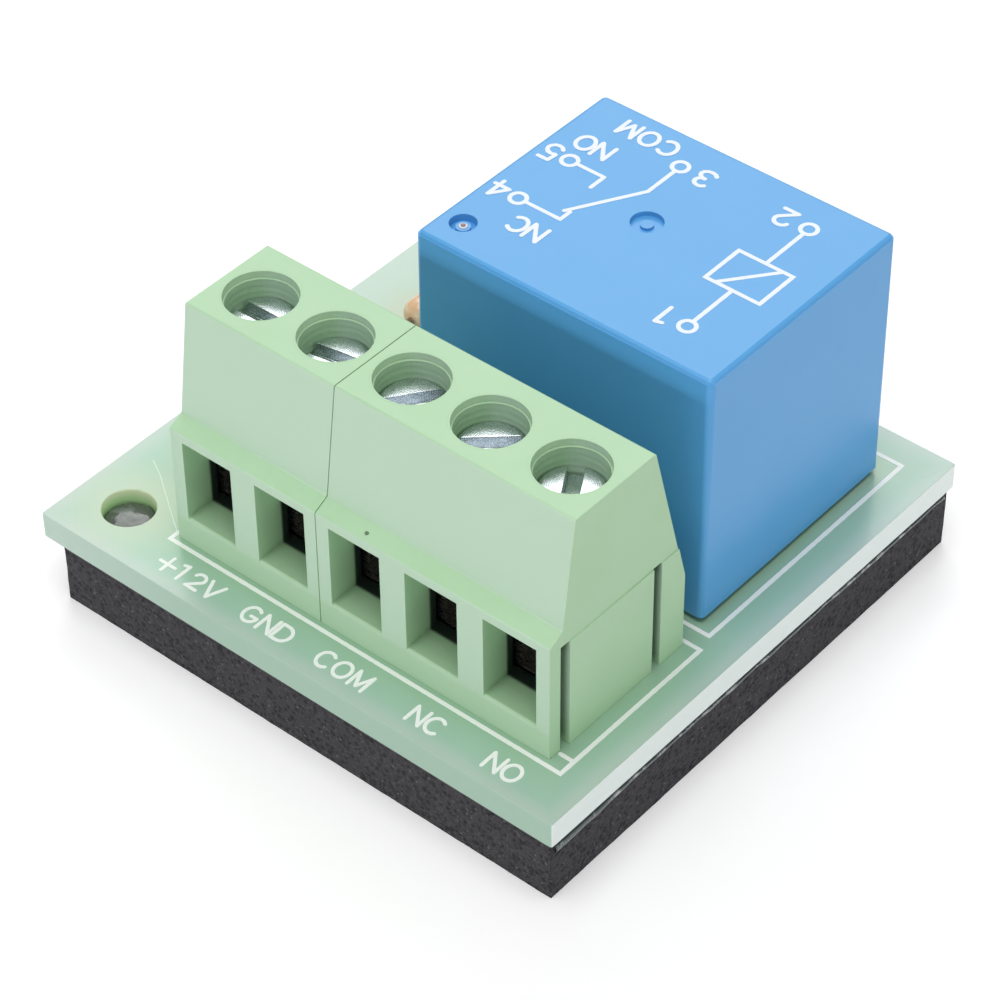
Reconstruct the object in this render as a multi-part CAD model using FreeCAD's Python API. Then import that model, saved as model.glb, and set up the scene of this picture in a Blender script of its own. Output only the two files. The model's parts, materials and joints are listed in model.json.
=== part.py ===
import FreeCAD, Part
import math
import os
from FreeCAD import Vector

# Relay module board, in millimetres. +X runs along the screw terminals, the wires
# enter from -Y, +Z is up, and the origin is under the middle of the foam pad.

# Circuit board
board_length = 35.3
board_width = 34.4
board_thickness = 1.6
board_corner_radius = 0.15
mounting_hole_diameter = 3.0
mounting_hole_inset = 3.3

# Foam pad and its adhesive film
foam_thickness = 3.7
foam_corner_radius = 0.4
foam_left_inset = 1.4
foam_right_inset = 0.05
foam_front_inset = 0.05
foam_back_inset = 0.5
film_thickness = 0.1
pin_pocket_diameter = 2.8
pin_pocket_clearance = 0.3

# Soldering
pin_tail_length = 1.3
solder_skirt_radius = 1.0
solder_tip_margin = 0.12
plug_sides = 6
lead_solder_skirt_radius = 0.7

# Screw terminals: a two-pole and a three-pole housing side by side
pole_pitch = 5.08
poles_in_small_housing = 2
poles_in_large_housing = 3
first_pole_x = -8.165
screw_axis_y = -9.06
terminal_height = 14.75
top_front_reach = 2.89
top_back_reach = 3.25
ledge_inner_reach = 3.8
front_face_reach = 4.76
back_face_reach = 5.85
ledge_inner_height = 8.1
ledge_outer_height = 7.62
back_slope_foot = 4.95
housing_edge_radius = 0.15
housing_gap = 0.04
end_wall = 0.03

# Interlocking ends of the terminal housings
groove_width = 0.63
groove_depth = 0.7
groove_height = 7.1
front_groove_reach = 3.6
back_groove_reach = 3.6
tongue_clearance = 0.05
end_panel_rise = 0.12

# Wire entries
wire_recess_width = 3.4
wire_recess_floor = 1.8
wire_recess_height = 5.25
wire_recess_depth = 1.75
wire_opening_height = 3.0
wire_opening_lip = 0.55
sill_bevel = 0.12

# Screwdriver holes
driver_hole_diameter = 3.78
driver_hole_mouth_diameter = 3.98
driver_hole_mouth_depth = 0.45

# Terminal screws
screw_head_diameter = 3.5
screw_head_height = 1.3
screw_head_depth = 1.35
screw_head_edge = 0.22
screw_shank_diameter = 2.5
slot_width = 0.85
slot_depth = 0.75
slot_angles = (0, 9, 54, 42, -59)
screw_seat_gap = 0.05
shank_clearance = 0.1
thread_clearance = 0.05

# Rising clamp cages
cage_width = 4.0
cage_depth = 4.0
cage_wall = 0.5
cage_floor = 0.9
cage_roof = 1.4
cage_corner_radius = 0.5
cage_travel = 2.5
cage_side_clearance = 0.15
cage_end_clearance = 0.2

# Terminal contacts: a bar in the cage, a leg behind it and a solder pin
contact_thickness = 0.8
contact_width = 2.4
contact_bend_radius = 0.5
contact_gap = 0.1
bar_seat_length = 0.3
leg_gap = 0.35
terminal_pin_width = 0.9
terminal_hole_diameter = 1.5

# Relay case
relay_centre_x = 5.07
relay_centre_y = 6.315
relay_length = 19.2
relay_width = 15.55
relay_height = 16.15
relay_standoff = 0.35
case_draft = 0.06
case_wall = 0.7
case_roof = 0.8
case_corner_radius = 0.35
case_top_radius = 0.22
case_rim_step = 0.05
rim_bands = 2
gate_offset_x = -0.84
gate_offset_y = 0.37
gate_diameter = 1.8
gate_depth = 0.28
gate_nub_diameter = 0.7
vent_inset_x = 1.55
vent_inset_y = 2.1
vent_diameter = 1.5
vent_depth = 0.45
vent_nub_diameter = 0.8
nub_sides = 12

# Relay base and pins
base_thickness = 1.2
base_clearance = 0.05
base_foot_size = 1.4
base_corner_radius = 0.25
common_pin_inset = 2.2
coil_pin_step = 2.0
contact_pin_inset = 2.7
pin_row_inset = 1.75
relay_pin_width = 0.8
relay_pin_thickness = 0.4
relay_pin_clearance = 0.04
relay_hole_diameter = 1.3

# Coil
coil_pin_width = 0.6
coil_pin_height = 2.2
bobbin_flange = 0.8
bobbin_tube_wall = 0.5
bobbin_flange_length = 9.2
bobbin_flange_width = 10.0
bobbin_height = 8.6
winding_diameter = 8.4
core_diameter = 3.2
pole_diameter = 6.0
pole_height = 0.95
core_clearance = 0.02
coil_axis_gap = 5.1

# Magnetic frame and armature
yoke_thickness = 1.1
yoke_width = 9.0
yoke_bend_radius = 0.6
armature_thickness = 1.0
armature_overhang = 3.5
armature_pivot_gap = 0.1
armature_travel_deg = 2.5
armature_air_gap = 0.1
armature_edge_radius = 0.3

# Contacts of the relay
spring_thickness = 0.2
spring_width = 4.0
spring_tail_length = 6.0
spring_tail_gap = 0.3
spring_end_margin = 1.3
contact_button_diameter = 2.4
contact_button_height = 0.4
fixed_button_height = 0.3
fixed_blade_thickness = 0.4
fixed_blade_width = 2.4
open_contact_gap = 0.1
common_strip_thickness = 0.3
common_strip_width = 3.0
common_strip_height = 7.0
rivet_spacing = 4.0
rivet_diameter = 1.2
rivet_head_height = 0.25

# Diode beside the relay
diode_x = -12.2
diode_y = 8.5
diode_axis_height = 1.1
diode_diameter = 2.0
diode_length = 3.8
diode_end_length = 0.5
diode_end_width = 0.42
lead_spacing = 7.62
lead_diameter = 0.5
lead_bend_radius = 0.7
lead_hole_diameter = 0.9

# Levels that follow from the sizes above
film_bottom = foam_thickness
board_bottom = film_bottom + film_thickness
board_top = board_bottom + board_thickness
pin_tip = board_bottom - pin_tail_length

pole_count = poles_in_small_housing + poles_in_large_housing
pole_xs = [first_pole_x + pole_pitch * i for i in range(pole_count)]

wire_floor = board_top + wire_recess_floor
front_face_y = screw_axis_y - front_face_reach
recess_back_y = front_face_y + wire_recess_depth
bar_bottom = wire_floor + wire_opening_height
bar_top = bar_bottom + contact_thickness
cage_open_roof = bar_top + contact_gap
cage_open_top = cage_open_roof + cage_roof
chamber_top = cage_open_top + cage_travel + cage_end_clearance
chamber_half_width = cage_width / 2 + cage_side_clearance
chamber_front_y = screw_axis_y - cage_depth / 2 - cage_side_clearance
chamber_back_y = screw_axis_y + cage_depth / 2 + cage_side_clearance
terminal_top = board_top + terminal_height
head_top = terminal_top - screw_head_depth
head_bottom = head_top - screw_head_height
leg_front_y = screw_axis_y + cage_depth / 2 + leg_gap
leg_back_y = leg_front_y + contact_thickness
terminal_pin_y = (leg_front_y + leg_back_y) / 2

relay_left = relay_centre_x - relay_length / 2
relay_front = relay_centre_y - relay_width / 2
case_bottom = board_top + relay_standoff
case_top = board_top + relay_height
common_pin_x = relay_left + common_pin_inset
coil_pin_x = common_pin_x + coil_pin_step
contact_pin_step = relay_length - common_pin_inset - coil_pin_step - contact_pin_inset
contact_pin_x = coil_pin_x + contact_pin_step
pin_row_spacing = relay_width - 2 * pin_row_inset
near_pin_y = relay_centre_y - pin_row_spacing / 2
far_pin_y = relay_centre_y + pin_row_spacing / 2
base_top = case_bottom + base_thickness
yoke_outer_x = common_pin_x + common_strip_thickness / 2
yoke_inner_x = yoke_outer_x + yoke_thickness
coil_axis_x = yoke_inner_x + coil_axis_gap
foot_top = base_top + yoke_thickness
bobbin_top = foot_top + bobbin_height
pole_face = bobbin_top + pole_height
pivot_x = (yoke_outer_x + yoke_inner_x) / 2
pole_rim_reach = coil_axis_x + pole_diameter / 2 - pivot_x
pole_rim_drop = pole_rim_reach * math.tan(math.radians(armature_travel_deg))
armature_bottom = pole_face + pole_rim_drop + armature_air_gap
pivot_z = armature_bottom - armature_pivot_gap / 2
yoke_top = armature_bottom - armature_pivot_gap
armature_top = armature_bottom + armature_thickness
spring_top = armature_top + spring_thickness
contact_drop = (contact_pin_x - pivot_x) * math.tan(math.radians(armature_travel_deg))


def box(x0, x1, y0, y1, z0, z1):
    """Block between two opposite corners."""
    return Part.makeBox(x1 - x0, y1 - y0, z1 - z0, Vector(x0, y0, z0))


def post(x, y, z0, z1, diameter):
    """Upright cylinder."""
    return Part.makeCylinder(diameter / 2, z1 - z0, Vector(x, y, z0))


def prism_wire(x, y, z, radius, sides=plug_sides):
    """Level polygon whose flats stand at the radius, for small places that repeat."""
    corner_radius = radius / math.cos(math.pi / sides)
    corners = []
    for i in range(sides + 1):
        angle = 2 * math.pi * (i % sides) / sides
        corners.append(Vector(x + corner_radius * math.cos(angle), y + corner_radius * math.sin(angle), z))
    return Part.makePolygon(corners)


def prism(x, y, z0, z1, radius, sides=plug_sides):
    """Upright polygonal plug."""
    return Part.Face(prism_wire(x, y, z0, radius, sides)).extrude(Vector(0, 0, z1 - z0))


def flat_cone(x, y, z0, radius0, z1, radius1):
    """Cut-off pyramid between two level polygons."""
    low = prism_wire(x, y, z0, radius0)
    high = prism_wire(x, y, z1, radius1)
    faces = [Part.Face(low), Part.Face(high)]
    under = [vertex.Point for vertex in low.OrderedVertexes]
    over = [vertex.Point for vertex in high.OrderedVertexes]
    for i in range(plug_sides):
        j = (i + 1) % plug_sides
        faces.append(Part.Face(Part.makePolygon([under[i], under[j], over[j], over[i], under[i]])))
    return Part.Solid(Part.Shell(faces))


def square_post(x, y, z0, z1, width):
    """Upright square bar."""
    half = width / 2
    return box(x - half, x + half, y - half, y + half, z0, z1)


def rounded_wire(points, radii):
    """Closed wire through the points, each corner turned by an arc of its own radius."""
    turns = []
    count = len(points)
    for i, corner in enumerate(points):
        back = (points[i - 1] - corner).normalize()
        onward = (points[(i + 1) % count] - corner).normalize()
        half = back.getAngle(onward) / 2
        reach = radii[i] / math.tan(half)
        inward = (back + onward).normalize()
        apex = corner + inward * (radii[i] / math.sin(half) - radii[i])
        turns.append((corner + back * reach, apex, corner + onward * reach))
    edges = []
    for i, (enter, apex, leave) in enumerate(turns):
        if radii[i] > 0:
            edges.append(Part.Arc(enter, apex, leave).toShape())
        following = turns[(i + 1) % count][0]
        edges.append(Part.makeLine(leave, following))
    return Part.Wire(edges)


def rounded_rectangle(cx, cy, length, width, radius, z):
    """Level rectangle with four round corners."""
    half_x = length / 2
    half_y = width / 2
    corners = [Vector(cx - half_x, cy - half_y, z), Vector(cx + half_x, cy - half_y, z),
               Vector(cx + half_x, cy + half_y, z), Vector(cx - half_x, cy + half_y, z)]
    return rounded_wire(corners, [radius] * 4)


def plate(x0, x1, y0, y1, z0, z1, radius):
    """Flat plate with round corners seen from above."""
    wire = rounded_rectangle((x0 + x1) / 2, (y0 + y1) / 2, x1 - x0, y1 - y0, radius, z0)
    return Part.Face(wire).extrude(Vector(0, 0, z1 - z0))


def side_profile(outline, radii, x0, x1):
    """Outline of (y, z) points, drawn out along X."""
    wire = rounded_wire([Vector(x0, y, z) for y, z in outline], radii)
    return Part.Face(wire).extrude(Vector(x1 - x0, 0, 0))


def front_profile(outline, radii, y0, y1):
    """Outline of (x, z) points, drawn out along Y."""
    wire = rounded_wire([Vector(x, y0, z) for x, z in outline], radii)
    return Part.Face(wire).extrude(Vector(0, y1 - y0, 0))


def turned(outline, x, y):
    """Outline of (radius, z) points, turned about an upright axis."""
    points = [Vector(x + r, y, z) for r, z in outline]
    face = Part.Face(Part.makePolygon(points + [points[0]]))
    return face.revolve(Vector(x, y, 0), Vector(0, 0, 1), 360)


def export(name, shape):
    """Write one sub-part."""
    shape.removeSplitter().exportStep("parts/" + name + ".step")


def mounting_hole_centres():
    """The two fixing holes on the side away from the relay."""
    x = -board_length / 2 + mounting_hole_inset
    y = board_width / 2 - mounting_hole_inset
    return [(x, -y), (x, y)]


def terminal_pins():
    """Solder pins of the screw terminals: place, size and hole."""
    return [(x, terminal_pin_y, terminal_pin_width, contact_thickness, terminal_hole_diameter)
            for x in pole_xs]


def relay_pins():
    """Flat solder pins of the relay's contacts."""
    size = (relay_pin_thickness, relay_pin_width, relay_hole_diameter)
    common = (common_pin_x, relay_centre_y, common_strip_thickness, relay_pin_width,
              relay_hole_diameter)
    return [common, (contact_pin_x, near_pin_y) + size, (contact_pin_x, far_pin_y) + size]


def coil_pin_places():
    """Square pins at the two ends of the winding."""
    return [(coil_pin_x, near_pin_y), (coil_pin_x, far_pin_y)]


def diode_lead_places():
    """Where the diode's two leads go down through the board."""
    half = lead_spacing / 2
    return [(diode_x, diode_y - half), (diode_x, diode_y + half)]


def all_hole_places():
    """Every soldered hole: its centre, its diameter and the reach of its solder."""
    flat = [(x, y, hole, solder_skirt_radius) for x, y, _, _, hole in terminal_pins() + relay_pins()]
    coil = [(x, y, relay_hole_diameter, solder_skirt_radius) for x, y in coil_pin_places()]
    leads = [(x, y, lead_hole_diameter, lead_solder_skirt_radius) for x, y in diode_lead_places()]
    return flat + coil + leads


def circuit_board():
    """Laminate with its fixing holes and soldered holes."""
    half_x = board_length / 2
    half_y = board_width / 2
    board = plate(-half_x, half_x, -half_y, half_y, board_bottom, board_top, board_corner_radius)
    holes = [post(x, y, board_bottom, board_top, mounting_hole_diameter)
             for x, y in mounting_hole_centres()]
    holes += [prism(x, y, board_bottom, board_top, diameter / 2) for x, y, diameter, _ in all_hole_places()]
    return board.cut(holes)


def pad_layer(z0, z1):
    """Plan of the foam pad between two levels."""
    return plate(-board_length / 2 + foam_left_inset, board_length / 2 - foam_right_inset,
                 -board_width / 2 + foam_front_inset, board_width / 2 - foam_back_inset,
                 z0, z1, foam_corner_radius)


def foam_pad():
    """Foam block with a pocket under each soldered pin."""
    floor = pin_tip - pin_pocket_clearance
    radius = pin_pocket_diameter / 2
    pockets = [prism(x, y, floor, foam_thickness, radius) for x, y, _, _ in all_hole_places()]
    return pad_layer(0, foam_thickness).cut(pockets)


def adhesive_film():
    """Film between foam and board, pierced by the soldered pins."""
    radius = pin_pocket_diameter / 2
    holes = [prism(x, y, film_bottom, board_bottom, radius) for x, y, _, _ in all_hole_places()]
    return pad_layer(film_bottom, board_bottom).cut(holes)


def solder_joint(x, y, hole_diameter, skirt_radius, pin, pin_radius):
    """Solder that fills a hole and narrows as a cone along the pin's tail."""
    tip = pin_tip + pin_tail_length * solder_tip_margin
    skirt = flat_cone(x, y, tip, pin_radius + solder_tip_margin, board_bottom, skirt_radius)
    barrel = prism(x, y, board_bottom, board_top, hole_diameter / 2)
    return skirt.fuse(barrel).cut(pin)


def solder_joints():
    """All soldered joints as one group of separate solids."""
    joints = []
    for x, y, length, width, hole in terminal_pins() + relay_pins():
        pin = box(x - length / 2, x + length / 2, y - width / 2, y + width / 2, 0, case_top)
        radius = math.hypot(length, width) / 2
        joints.append(solder_joint(x, y, hole, solder_skirt_radius, pin, radius))
    for x, y in coil_pin_places():
        pin = square_post(x, y, 0, case_top, coil_pin_width)
        joints.append(solder_joint(x, y, relay_hole_diameter, solder_skirt_radius, pin,
                                   coil_pin_width / math.sqrt(2)))
    for x, y in diode_lead_places():
        pin = prism(x, y, 0, case_top, lead_diameter / 2)
        joints.append(solder_joint(x, y, lead_hole_diameter, lead_solder_skirt_radius, pin,
                                   lead_diameter / 2))
    return Part.makeCompound(joints)


def housing_block(x0, x1):
    """Outer form of a terminal housing: front face, ledge, tall sloped body."""
    front = front_face_y
    ledge = screw_axis_y - ledge_inner_reach
    top_front = screw_axis_y - top_front_reach
    top_back = screw_axis_y + top_back_reach
    back = screw_axis_y + back_face_reach
    edge = housing_edge_radius
    outline = [(front, board_top), (front, board_top + ledge_outer_height),
               (ledge, board_top + ledge_inner_height), (top_front, terminal_top),
               (top_back, terminal_top), (back, board_top + back_slope_foot), (back, board_top)]
    radii = [0, edge, edge, edge, edge, edge, 0]
    return side_profile(outline, radii, x0, x1)


def wire_entry(x):
    """Recess in the front face, its bevelled sill, the opening and the wider throat behind it."""
    half = wire_recess_width / 2
    top = wire_floor + wire_recess_height
    recess = box(x - half, x + half, front_face_y, recess_back_y, wire_floor, top)
    sill = [(front_face_y, wire_floor - sill_bevel), (front_face_y, wire_floor),
            (front_face_y + sill_bevel, wire_floor)]
    bevel = side_profile(sill, [0, 0, 0], x - half, x + half)
    throat_front_y = recess_back_y + wire_opening_lip
    opening = box(x - half, x + half, recess_back_y, throat_front_y, wire_floor, bar_bottom)
    throat = box(x - chamber_half_width, x + chamber_half_width, throat_front_y, chamber_front_y,
                 wire_floor, bar_bottom)
    return [recess, bevel, opening, throat]


def screw_passage(x):
    """Screwdriver hole, the shoulder's clearance hole and the chamber of the cage."""
    mouth_bottom = terminal_top - driver_hole_mouth_depth
    seat = head_bottom - screw_seat_gap
    radius = driver_hole_diameter / 2
    mouth_radius = driver_hole_mouth_diameter / 2
    shank_radius = screw_shank_diameter / 2 + shank_clearance
    outline = [(0, seat), (radius, seat), (radius, mouth_bottom), (mouth_radius, mouth_bottom),
               (mouth_radius, terminal_top), (0, terminal_top)]
    shoulder = prism(x, screw_axis_y, chamber_top, seat, shank_radius)
    chamber = box(x - chamber_half_width, x + chamber_half_width, chamber_front_y, chamber_back_y,
                  board_top, chamber_top)
    return [turned(outline, x, screw_axis_y), shoulder, chamber]


def contact_slot(x):
    """Room for the contact: a seat for the bar's end and a slot behind the cage for its leg."""
    half = contact_width / 2 + contact_gap
    seat = box(x - half, x + half, chamber_front_y - bar_seat_length, chamber_front_y,
               bar_bottom, bar_top)
    slot = box(x - half, x + half, chamber_back_y, leg_back_y + contact_gap, board_top, bar_top)
    return [seat, slot]


def end_grooves(x_end):
    """Two upright grooves in the +X end that take the next housing's tongues."""
    grooves = []
    for y in (screw_axis_y - front_groove_reach, screw_axis_y + back_groove_reach):
        grooves.append(box(x_end - groove_depth, x_end + end_panel_rise, y - groove_width / 2,
                           y + groove_width / 2, board_top, board_top + groove_height))
    return grooves


def end_tongues(x_end):
    """Two upright tongues on the -X end."""
    tongues = []
    width = groove_width - 2 * tongue_clearance
    for y in (screw_axis_y - front_groove_reach, screw_axis_y + back_groove_reach):
        tongues.append(box(x_end - groove_depth + tongue_clearance, x_end, y - width / 2, y + width / 2,
                           board_top, board_top + groove_height - tongue_clearance))
    return tongues


def terminal_housing(poles, outer_end):
    """Moulded housing for a run of poles."""
    x0 = poles[0] - pole_pitch / 2
    x1 = poles[-1] + pole_pitch / 2
    housing = housing_block(x0, x1 + end_wall if outer_end else x1 - housing_gap)
    cuts = []
    for x in poles:
        cuts += wire_entry(x) + screw_passage(x) + contact_slot(x)
    if outer_end:
        panel = housing_block(x1, x1 + end_panel_rise)
        panel = panel.common(box(x1, x1 + end_panel_rise, screw_axis_y - front_groove_reach,
                                 screw_axis_y + back_face_reach, board_top, board_top + groove_height))
        housing = housing.fuse(panel)
    return housing.cut(cuts + end_grooves(x1)).fuse(end_tongues(x0))


def terminal_screw(x, slot_angle):
    """Slotted screw whose tip bears on the contact bar."""
    tip = bar_top + screw_seat_gap
    shank = screw_shank_diameter / 2
    head = screw_head_diameter / 2
    outline = [(0, tip), (shank, tip), (shank, head_bottom), (head, head_bottom),
               (head, head_top - screw_head_edge), (head - screw_head_edge, head_top), (0, head_top)]
    screw = turned(outline, x, screw_axis_y)
    slot = box(x - head, x + head, screw_axis_y - slot_width / 2, screw_axis_y + slot_width / 2,
               head_top - slot_depth, head_top)
    slot.rotate(Vector(x, screw_axis_y, 0), Vector(0, 0, 1), slot_angle)
    return screw.cut(slot)


def clamp_cage(x):
    """Rectangular cage that the screw draws up to clamp a wire under the bar."""
    outer = cage_width / 2
    inner = outer - cage_wall
    bottom = wire_floor - cage_floor
    y0 = screw_axis_y - cage_depth / 2
    y1 = screw_axis_y + cage_depth / 2
    frame = front_profile([(x - outer, bottom), (x + outer, bottom), (x + outer, cage_open_top),
                           (x - outer, cage_open_top)], [cage_corner_radius] * 4, y0, y1)
    window = box(x - inner, x + inner, y0, y1, wire_floor, cage_open_roof)
    bore = prism(x, screw_axis_y, cage_open_roof, cage_open_top,
                 screw_shank_diameter / 2 + thread_clearance)
    return frame.cut([window, bore])


def terminal_contact(x):
    """Bent strip: bar in the cage, leg behind it, and a narrower pin through the board."""
    front = chamber_front_y - bar_seat_length
    outline = [(front, bar_bottom), (leg_front_y, bar_bottom), (leg_front_y, board_top),
               (leg_back_y, board_top), (leg_back_y, bar_top), (front, bar_top)]
    inner_bend = contact_bend_radius / 2
    radii = [0, inner_bend, 0, 0, contact_bend_radius, 0]
    half = contact_width / 2
    strip = side_profile(outline, radii, x - half, x + half)
    half = terminal_pin_width / 2
    pin = box(x - half, x + half, leg_front_y, leg_back_y, pin_tip, board_top)
    return strip.fuse(pin)


def case_section(inset, corner, z):
    """Level outline of the relay case, drawn in from the outer size by an inset."""
    return rounded_rectangle(relay_centre_x, relay_centre_y, relay_length - 2 * inset,
                             relay_width - 2 * inset, corner, z)


def case_body(inset, draft, z0, z1, corner):
    """Tapered block of the relay case between two levels."""
    return Part.makeLoft([case_section(inset, corner, z0), case_section(inset + draft, corner, z1)],
                         True, True)


def case_crown():
    """Round top edge of the case, set in by a small step and turned over in narrow bands."""
    sections = []
    for band in range(rim_bands + 1):
        angle = math.pi / 2 * band / rim_bands
        inset = case_rim_step + case_top_radius * (1 - math.cos(angle))
        z = case_top - case_top_radius * (1 - math.sin(angle))
        sections.append(case_section(case_draft + inset, case_corner_radius - inset, z))
    return Part.makeLoft(sections, True, True)


def vent_centre():
    """Breather recess near one corner of the case."""
    return relay_left + vent_inset_x, relay_front + vent_inset_y


def relay_cover():
    """Tapered case, open below, with a round top edge, a gate mark and a breather."""
    walls = case_body(0, case_draft, case_bottom, case_top - case_top_radius, case_corner_radius)
    outer = walls.fuse(case_crown())
    ceiling = case_top - case_roof
    hollow = case_body(case_wall, case_draft, case_bottom, ceiling, base_corner_radius)
    gate_x = relay_centre_x + gate_offset_x
    gate_y = relay_centre_y + gate_offset_y
    vent_x, vent_y = vent_centre()
    gate_floor = case_top - gate_depth
    gate = post(gate_x, gate_y, gate_floor, case_top, gate_diameter)
    gate = gate.cut(prism(gate_x, gate_y, gate_floor, case_top - gate_depth / 2,
                          gate_nub_diameter / 2, nub_sides))
    vent_floor = case_top - vent_depth
    vent = post(vent_x, vent_y, vent_floor, case_top, vent_diameter)
    vent = vent.cut(prism(vent_x, vent_y, vent_floor, case_top - vent_depth / 2,
                          vent_nub_diameter / 2, nub_sides))
    return outer.cut([hollow, gate, vent])


def relay_base():
    """Moulded floor of the relay with a foot in each corner and a hole for each pin."""
    inset = case_wall + base_clearance
    floor = case_body(inset, 0, case_bottom, base_top, base_corner_radius)
    feet = []
    half_x = relay_length / 2 - inset
    half_y = relay_width / 2 - inset
    for side_x in (-1, 1):
        for side_y in (-1, 1):
            corner_x = relay_centre_x + side_x * half_x
            corner_y = relay_centre_y + side_y * half_y
            x0, x1 = sorted((corner_x, corner_x - side_x * base_foot_size))
            y0, y1 = sorted((corner_y, corner_y - side_y * base_foot_size))
            feet.append(box(x0, x1, y0, y1, board_top, case_bottom))
    clearance = relay_pin_clearance
    holes = [box(x - a / 2 - clearance, x + a / 2 + clearance, y - b / 2 - clearance,
                 y + b / 2 + clearance, case_bottom, base_top) for x, y, a, b, _ in relay_pins()]
    holes += [square_post(x, y, case_bottom, base_top, coil_pin_width + 2 * clearance)
              for x, y in coil_pin_places()]
    return floor.cut(holes).fuse(feet)


def yoke():
    """Bent iron frame: a foot under the coil and an upright that carries the armature."""
    far = coil_axis_x + pole_diameter / 2
    outline = [(yoke_outer_x, base_top), (far, base_top), (far, foot_top), (yoke_inner_x, foot_top),
               (yoke_inner_x, yoke_top), (yoke_outer_x, yoke_top)]
    radii = [yoke_bend_radius, 0, 0, yoke_bend_radius / 2, 0, 0]
    half = yoke_width / 2
    frame = front_profile(outline, radii, relay_centre_y - half, relay_centre_y + half)
    return frame.cut(post(coil_axis_x, relay_centre_y, base_top, foot_top, core_diameter))


def core():
    """Iron core riveted in the yoke's foot, with a wider pole on top."""
    radius = core_diameter / 2
    pole = pole_diameter / 2
    outline = [(0, base_top), (radius, base_top), (radius, bobbin_top), (pole, bobbin_top),
               (pole, pole_face), (0, pole_face)]
    return turned(outline, coil_axis_x, relay_centre_y)


def bobbin():
    """Flanged spool on the core."""
    half_x = bobbin_flange_length / 2
    half_y = bobbin_flange_width / 2
    tube_diameter = core_diameter + 2 * (core_clearance + bobbin_tube_wall)
    tube = post(coil_axis_x, relay_centre_y, foot_top, bobbin_top, tube_diameter)
    flanges = [box(coil_axis_x - half_x, coil_axis_x + half_x, relay_centre_y - half_y,
                   relay_centre_y + half_y, z, z + bobbin_flange)
               for z in (foot_top, bobbin_top - bobbin_flange)]
    bore = post(coil_axis_x, relay_centre_y, foot_top, bobbin_top, core_diameter + 2 * core_clearance)
    return tube.fuse(flanges).cut(bore)


def coil_winding():
    """Wound wire between the flanges, as one sleeve."""
    inner = core_diameter + 2 * (core_clearance + bobbin_tube_wall)
    low = foot_top + bobbin_flange
    high = bobbin_top - bobbin_flange
    sleeve = post(coil_axis_x, relay_centre_y, low, high, winding_diameter)
    return sleeve.cut(post(coil_axis_x, relay_centre_y, low, high, inner))


def coil_pin(x, y):
    """Square pin that one end of the winding is tied to."""
    return square_post(x, y, pin_tip, base_top + coil_pin_height, coil_pin_width)


def rivet_places():
    """Two rivets that hold the spring on the armature."""
    half = rivet_spacing / 2
    middle = (pivot_x + coil_axis_x) / 2
    return [(middle, relay_centre_y - half / 2), (middle, relay_centre_y + half / 2)]


def armature():
    """Iron plate over the pole, hinged on the yoke's top edge, with its two rivets."""
    half = yoke_width / 2
    slab = plate(yoke_outer_x, coil_axis_x + armature_overhang, relay_centre_y - half,
                 relay_centre_y + half, armature_bottom, armature_top, armature_edge_radius)
    rivets = [prism(x, y, armature_top, spring_top + rivet_head_height, rivet_diameter / 2)
              for x, y in rivet_places()]
    return slab.fuse(rivets)


def contact_spring():
    """Leaf spring on the armature: long arm to the contacts, tail bent down behind the yoke."""
    tail_inner_x = yoke_outer_x - common_strip_thickness - spring_tail_gap
    tail_outer_x = tail_inner_x - spring_thickness
    tail_end = yoke_top - spring_tail_length
    tip = contact_pin_x + spring_end_margin
    outline = [(tail_outer_x, tail_end), (tail_inner_x, tail_end), (tail_inner_x, armature_top),
               (tip, armature_top), (tip, spring_top), (tail_outer_x, spring_top)]
    radii = [0, 0, spring_thickness, 0, 0, 2 * spring_thickness]
    half = spring_width / 2
    leaf = front_profile(outline, radii, relay_centre_y - half, relay_centre_y + half)
    places = rivet_places() + [(contact_pin_x, relay_centre_y)]
    return leaf.cut([prism(x, y, armature_top, spring_top, rivet_diameter / 2) for x, y in places])


def moving_contact():
    """Two-headed silver button set through the end of the spring."""
    x = contact_pin_x
    y = relay_centre_y
    lower = post(x, y, armature_top - contact_button_height, armature_top, contact_button_diameter)
    stem = prism(x, y, armature_top, spring_top, rivet_diameter / 2)
    upper = post(x, y, spring_top, spring_top + contact_button_height, contact_button_diameter)
    return lower.fuse([stem, upper])


def fixed_contact(pin_y, blade_bottom, button_bottom):
    """Post from the board, a blade that reaches the middle, and its silver button."""
    half_post = relay_pin_thickness / 2
    half_width = relay_pin_width / 2
    half_blade = fixed_blade_width / 2
    blade_top = blade_bottom + fixed_blade_thickness
    reach = relay_centre_y + half_blade if pin_y < relay_centre_y else relay_centre_y - half_blade
    outer = pin_y - half_width if pin_y < relay_centre_y else pin_y + half_width
    y0, y1 = sorted((outer, reach))
    blade = box(contact_pin_x - half_blade, contact_pin_x + half_blade, y0, y1, blade_bottom, blade_top)
    upright = box(contact_pin_x - half_post, contact_pin_x + half_post, pin_y - half_width,
                  pin_y + half_width, pin_tip, blade_bottom)
    button = post(contact_pin_x, relay_centre_y, button_bottom, button_bottom + fixed_button_height,
                  contact_button_diameter)
    return blade.fuse([upright, button])


def closed_contact():
    """Upper fixed contact, which the spring touches while the coil is off."""
    button_bottom = spring_top + contact_button_height + open_contact_gap
    return fixed_contact(far_pin_y, button_bottom + fixed_button_height, button_bottom)


def open_contact():
    """Lower fixed contact, which the spring reaches when the armature is pulled down."""
    button_top = armature_top - contact_button_height - contact_drop - open_contact_gap
    button_bottom = button_top - fixed_button_height
    return fixed_contact(near_pin_y, button_bottom - fixed_blade_thickness, button_bottom)


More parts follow.
